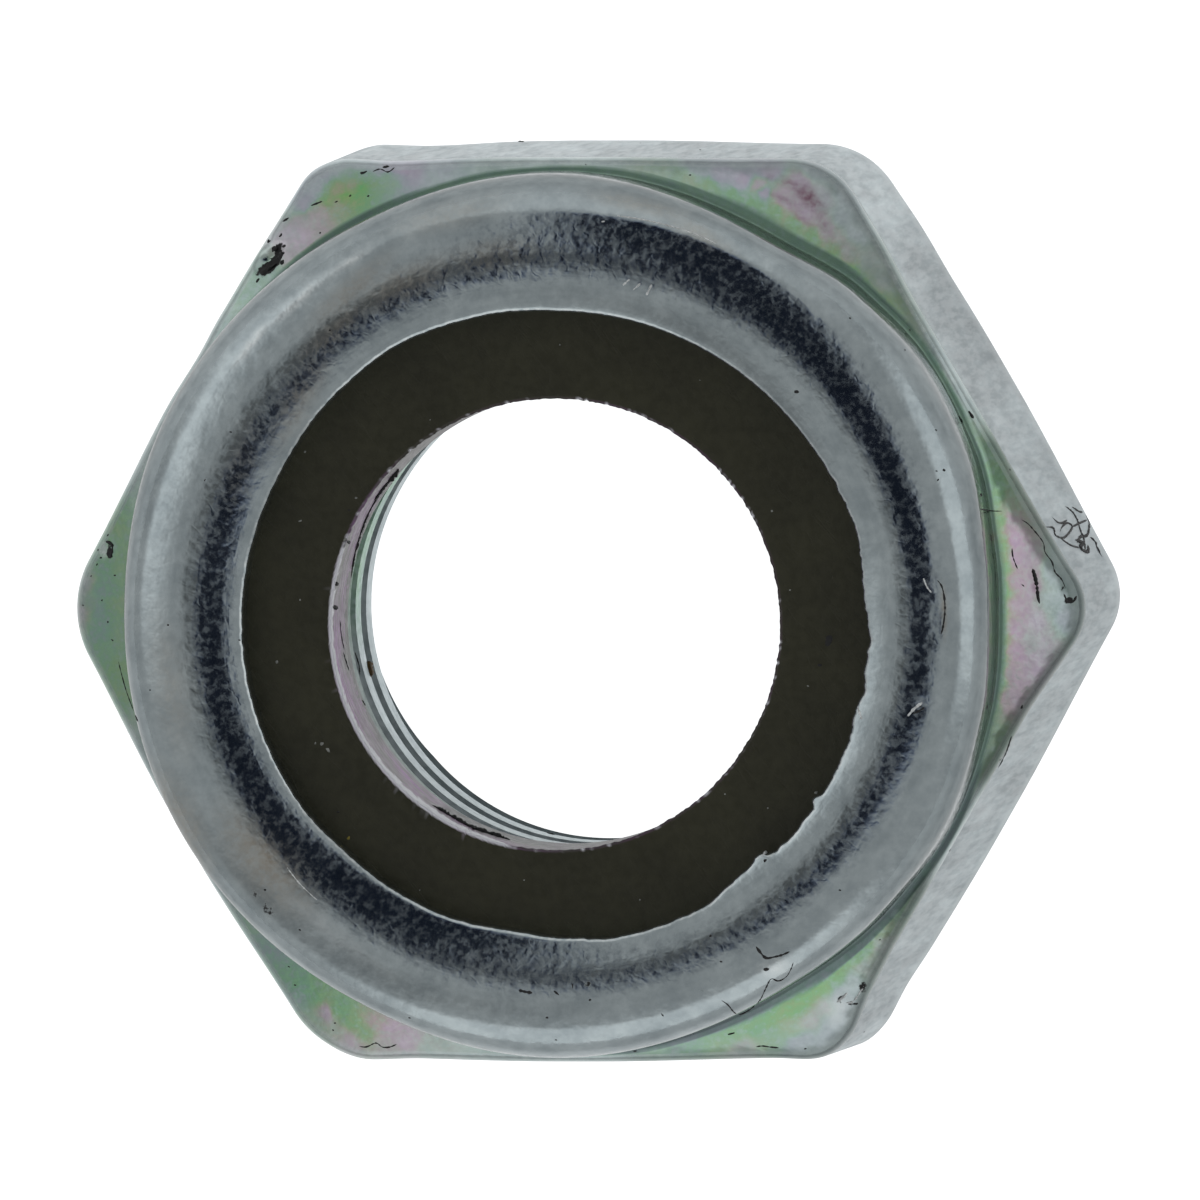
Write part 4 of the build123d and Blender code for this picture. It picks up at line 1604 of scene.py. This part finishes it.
# Geometry Nodes: lays a small ragged chip on each point, flat on the surface
def fleckTree():
    inputs = [(label, "NodeSocketFloat") for label in ("Thickness", "Ragged", "Lumps")]
    tree, given, result = geometryTree("layFlecks", inputs)
    chip = addNode(tree, "GeometryNodeMeshIcoSphere")
    chip.inputs["Radius"].default_value = 0.5
    chip.inputs["Subdivisions"].default_value = 2
    facing = addNode(tree, "FunctionNodeAlignRotationToVector", axis="Z")
    feed(tree, facing.inputs["Vector"], stored(tree, "facing", "FLOAT_VECTOR"))
    lie = addNode(tree, "FunctionNodeAlignRotationToVector", axis="X", pivot_axis="Z")
    feed(tree, lie.inputs["Rotation"], facing.outputs[0])
    feed(tree, lie.inputs["Vector"], stored(tree, "along", "FLOAT_VECTOR"))
    lay = addNode(tree, "GeometryNodeInstanceOnPoints")
    feed(tree, lay.inputs["Points"], given["Geometry"])
    feed(tree, lay.inputs["Instance"], chip.outputs[0])
    feed(tree, lay.inputs["Rotation"], lie.outputs[0])
    long = stored(tree, "long")
    feed(tree, lay.inputs["Scale"], combine(tree, long, stored(tree, "wide"), given["Thickness"]))
    real = addNode(tree, "GeometryNodeRealizeInstances")
    feed(tree, real.inputs[0], lay.outputs[0])
    cloud = addNode(tree, "ShaderNodeTexNoise")
    feed(tree, cloud.inputs["Vector"], addNode(tree, "GeometryNodeInputPosition").outputs[0])
    feed(tree, cloud.inputs["Scale"], given["Lumps"])
    aside = calcVector(tree, "SUBTRACT", cloud.outputs["Color"], (0.5, 0.5, 0.5))
    shift = scaled(tree, aside, calc(tree, "MULTIPLY", long, given["Ragged"]))
    roughen = addNode(tree, "GeometryNodeSetPosition")
    feed(tree, roughen.inputs["Geometry"], real.outputs[0])
    feed(tree, roughen.inputs["Offset"], calcVector(tree, "MULTIPLY", shift, (1, 1, chipFlat)))
    endTree(tree, roughen.outputs[0], given["Material"], result)
    return tree


def plainMaterial(name, colour, roughness, metallic=0.0):
    material, tree, position, shader = startMaterial(name)
    cloud = useGroup(tree, mottle, Position=position, **dustGrain)
    darker = tuple(dustDark * value for value in colour[:3]) + (1,)
    feed(tree, shader.inputs["Base Color"], blendColour(tree, cloud["Fine"], darker, colour))
    feed(tree, shader.inputs["Roughness"], weighted(tree, (cloud["Coarse"], 0.15), start=roughness))
    shader.inputs["Metallic"].default_value = metallic
    return material


lineMaker = lineTree()
fleckMaker = fleckTree()
# also draws the painted shadow line along the foot of the ring's hole
soot = plainMaterial("blackResidueAndShadow", (0.012, 0.012, 0.013, 1), 0.55)
# also draws the painted highlight and glint on the collar's ridge
bareZincAndHighlight = plainMaterial("bareZincAndHighlight", (0.85, 0.88, 0.88, 1), 0.5)
driedBrown = plainMaterial("driedBrown", (0.20, 0.11, 0.03, 1), 0.45)
paleDust = plainMaterial("paleDust", (0.28, 0.29, 0.27, 1), 0.6)
yellowDust = plainMaterial("yellowDust", (0.30, 0.24, 0.03, 1), 0.6)


def handOver(piece, node=None):
    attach(piece, "root")
    if node:
        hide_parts(node)


# a smooth path through the given pixels, with a point at each step
def smoothPath(path, step):
    stops = [Vector(point) for point in (path[0], *path, path[-1])]
    points = []
    for before, start, end, after in zip(stops, stops[1:], stops[2:], stops[3:]):
        count = max(1, round((end - start).length / step))
        for i in range(count):
            t = i / count
            bend = (end - before) * t + (2 * before - 5 * start + 4 * end - after) * t ** 2
            bend += (3 * start - 3 * end + after - before) * t ** 3
            points.append(start + bend / 2)
    return points + [stops[-1]]


def drawLines(name, lines, surface, material, seed):
    toCamera = cameraAxes()[2]
    points = []
    edges = []
    widths = []
    for width, path in lines.values():
        last = None
        for pixelX, pixelY in smoothPath(path, pathStep):
            place, facing = placeOn(surface, pixelX, pixelY)
            if place is None:
                last = None
                continue
            sink = lineSink * max(0.0, facing.dot(toCamera))
            points.append((place - facing * width * pixelSize * sink) * mm)
            widths.append(width * pixelSize * mm)
            if last is not None and (points[last] - points[-1]).length < farStep * mm:
                edges.append((last, len(points) - 1))
            last = len(points) - 1
    mesh = bpy.data.meshes.new(name)
    mesh.from_pydata(points, edges, [])
    setValues(mesh, "width", widths)
    piece = newPiece(name, mesh)
    applyTree(piece, lineMaker, {**tubeSettings, "Seed": seed, "Material": material})
    piece.data.shade_smooth()
    return piece


def layFlecks(name, flecks, surface, material):
    right, up, toCamera = cameraAxes()
    points = []
    facings = []
    alongs = []
    longs = []
    wides = []
    for pixelX, pixelY, long, wide, turn in flecks:
        place, facing = placeOn(surface, pixelX, pixelY)
        if place is None:
            continue
        points.append((place - facing * chipSink) * mm)
        facings += facing[:]
        alongs += (right * cos(radians(turn)) + up * sin(radians(turn)))[:]
        longs.append(long * pixelSize * mm)
        wides.append(wide * pixelSize * mm)
    mesh = bpy.data.meshes.new(name)
    mesh.from_pydata(points, [], [])
    setValues(mesh, "long", longs)
    setValues(mesh, "wide", wides)
    for label, values in (("facing", facings), ("along", alongs)):
        mesh.attributes.new(label, "FLOAT_VECTOR", "POINT").data.foreach_set("vector", values)
    piece = newPiece(name, mesh)
    applyTree(piece, fleckMaker, {**chipSettings, "Material": material})
    return piece


ringSurface = surfaceOf(ringMesh)
marks = [
    (drawLines("darkLines", darkLines, bodySurface, soot, 3), "steel"),
    (drawLines("brightLines", brightLines, bodySurface, bareZincAndHighlight, 7), "steel"),
    (drawLines("brownDrop", brownLines, bodySurface, driedBrown, 5), "steel"),
    (drawLines("holeLines", holeLines, ringSurface, soot, 11), "nylon"),
    (layFlecks("darkFlecks", darkFlecks, bodySurface, soot), "steel"),
    (layFlecks("ringDarkFlecks", nylonFlecks["dark"], ringSurface, soot), "nylon"),
    (layFlecks("ringPaleFlecks", nylonFlecks["light"], ringSurface, paleDust), "nylon"),
    (layFlecks("ringYellowFleck", nylonFlecks["yellow"], ringSurface, yellowDust), "nylon"),
]

handOver(body, steelNode)
handOver(ringPiece, nylonNode)
for piece, slot in marks:
    handOver(piece)

for piece in (body, ringPiece, *(mark[0] for mark in marks)):
    triangles = sum(len(face.vertices) - 2 for face in piece.data.polygons)
    top = max(vertex.co.z for vertex in piece.data.vertices) / mm
    print(piece.name, triangles, "triangles, top at", round(top, 3), "mm")
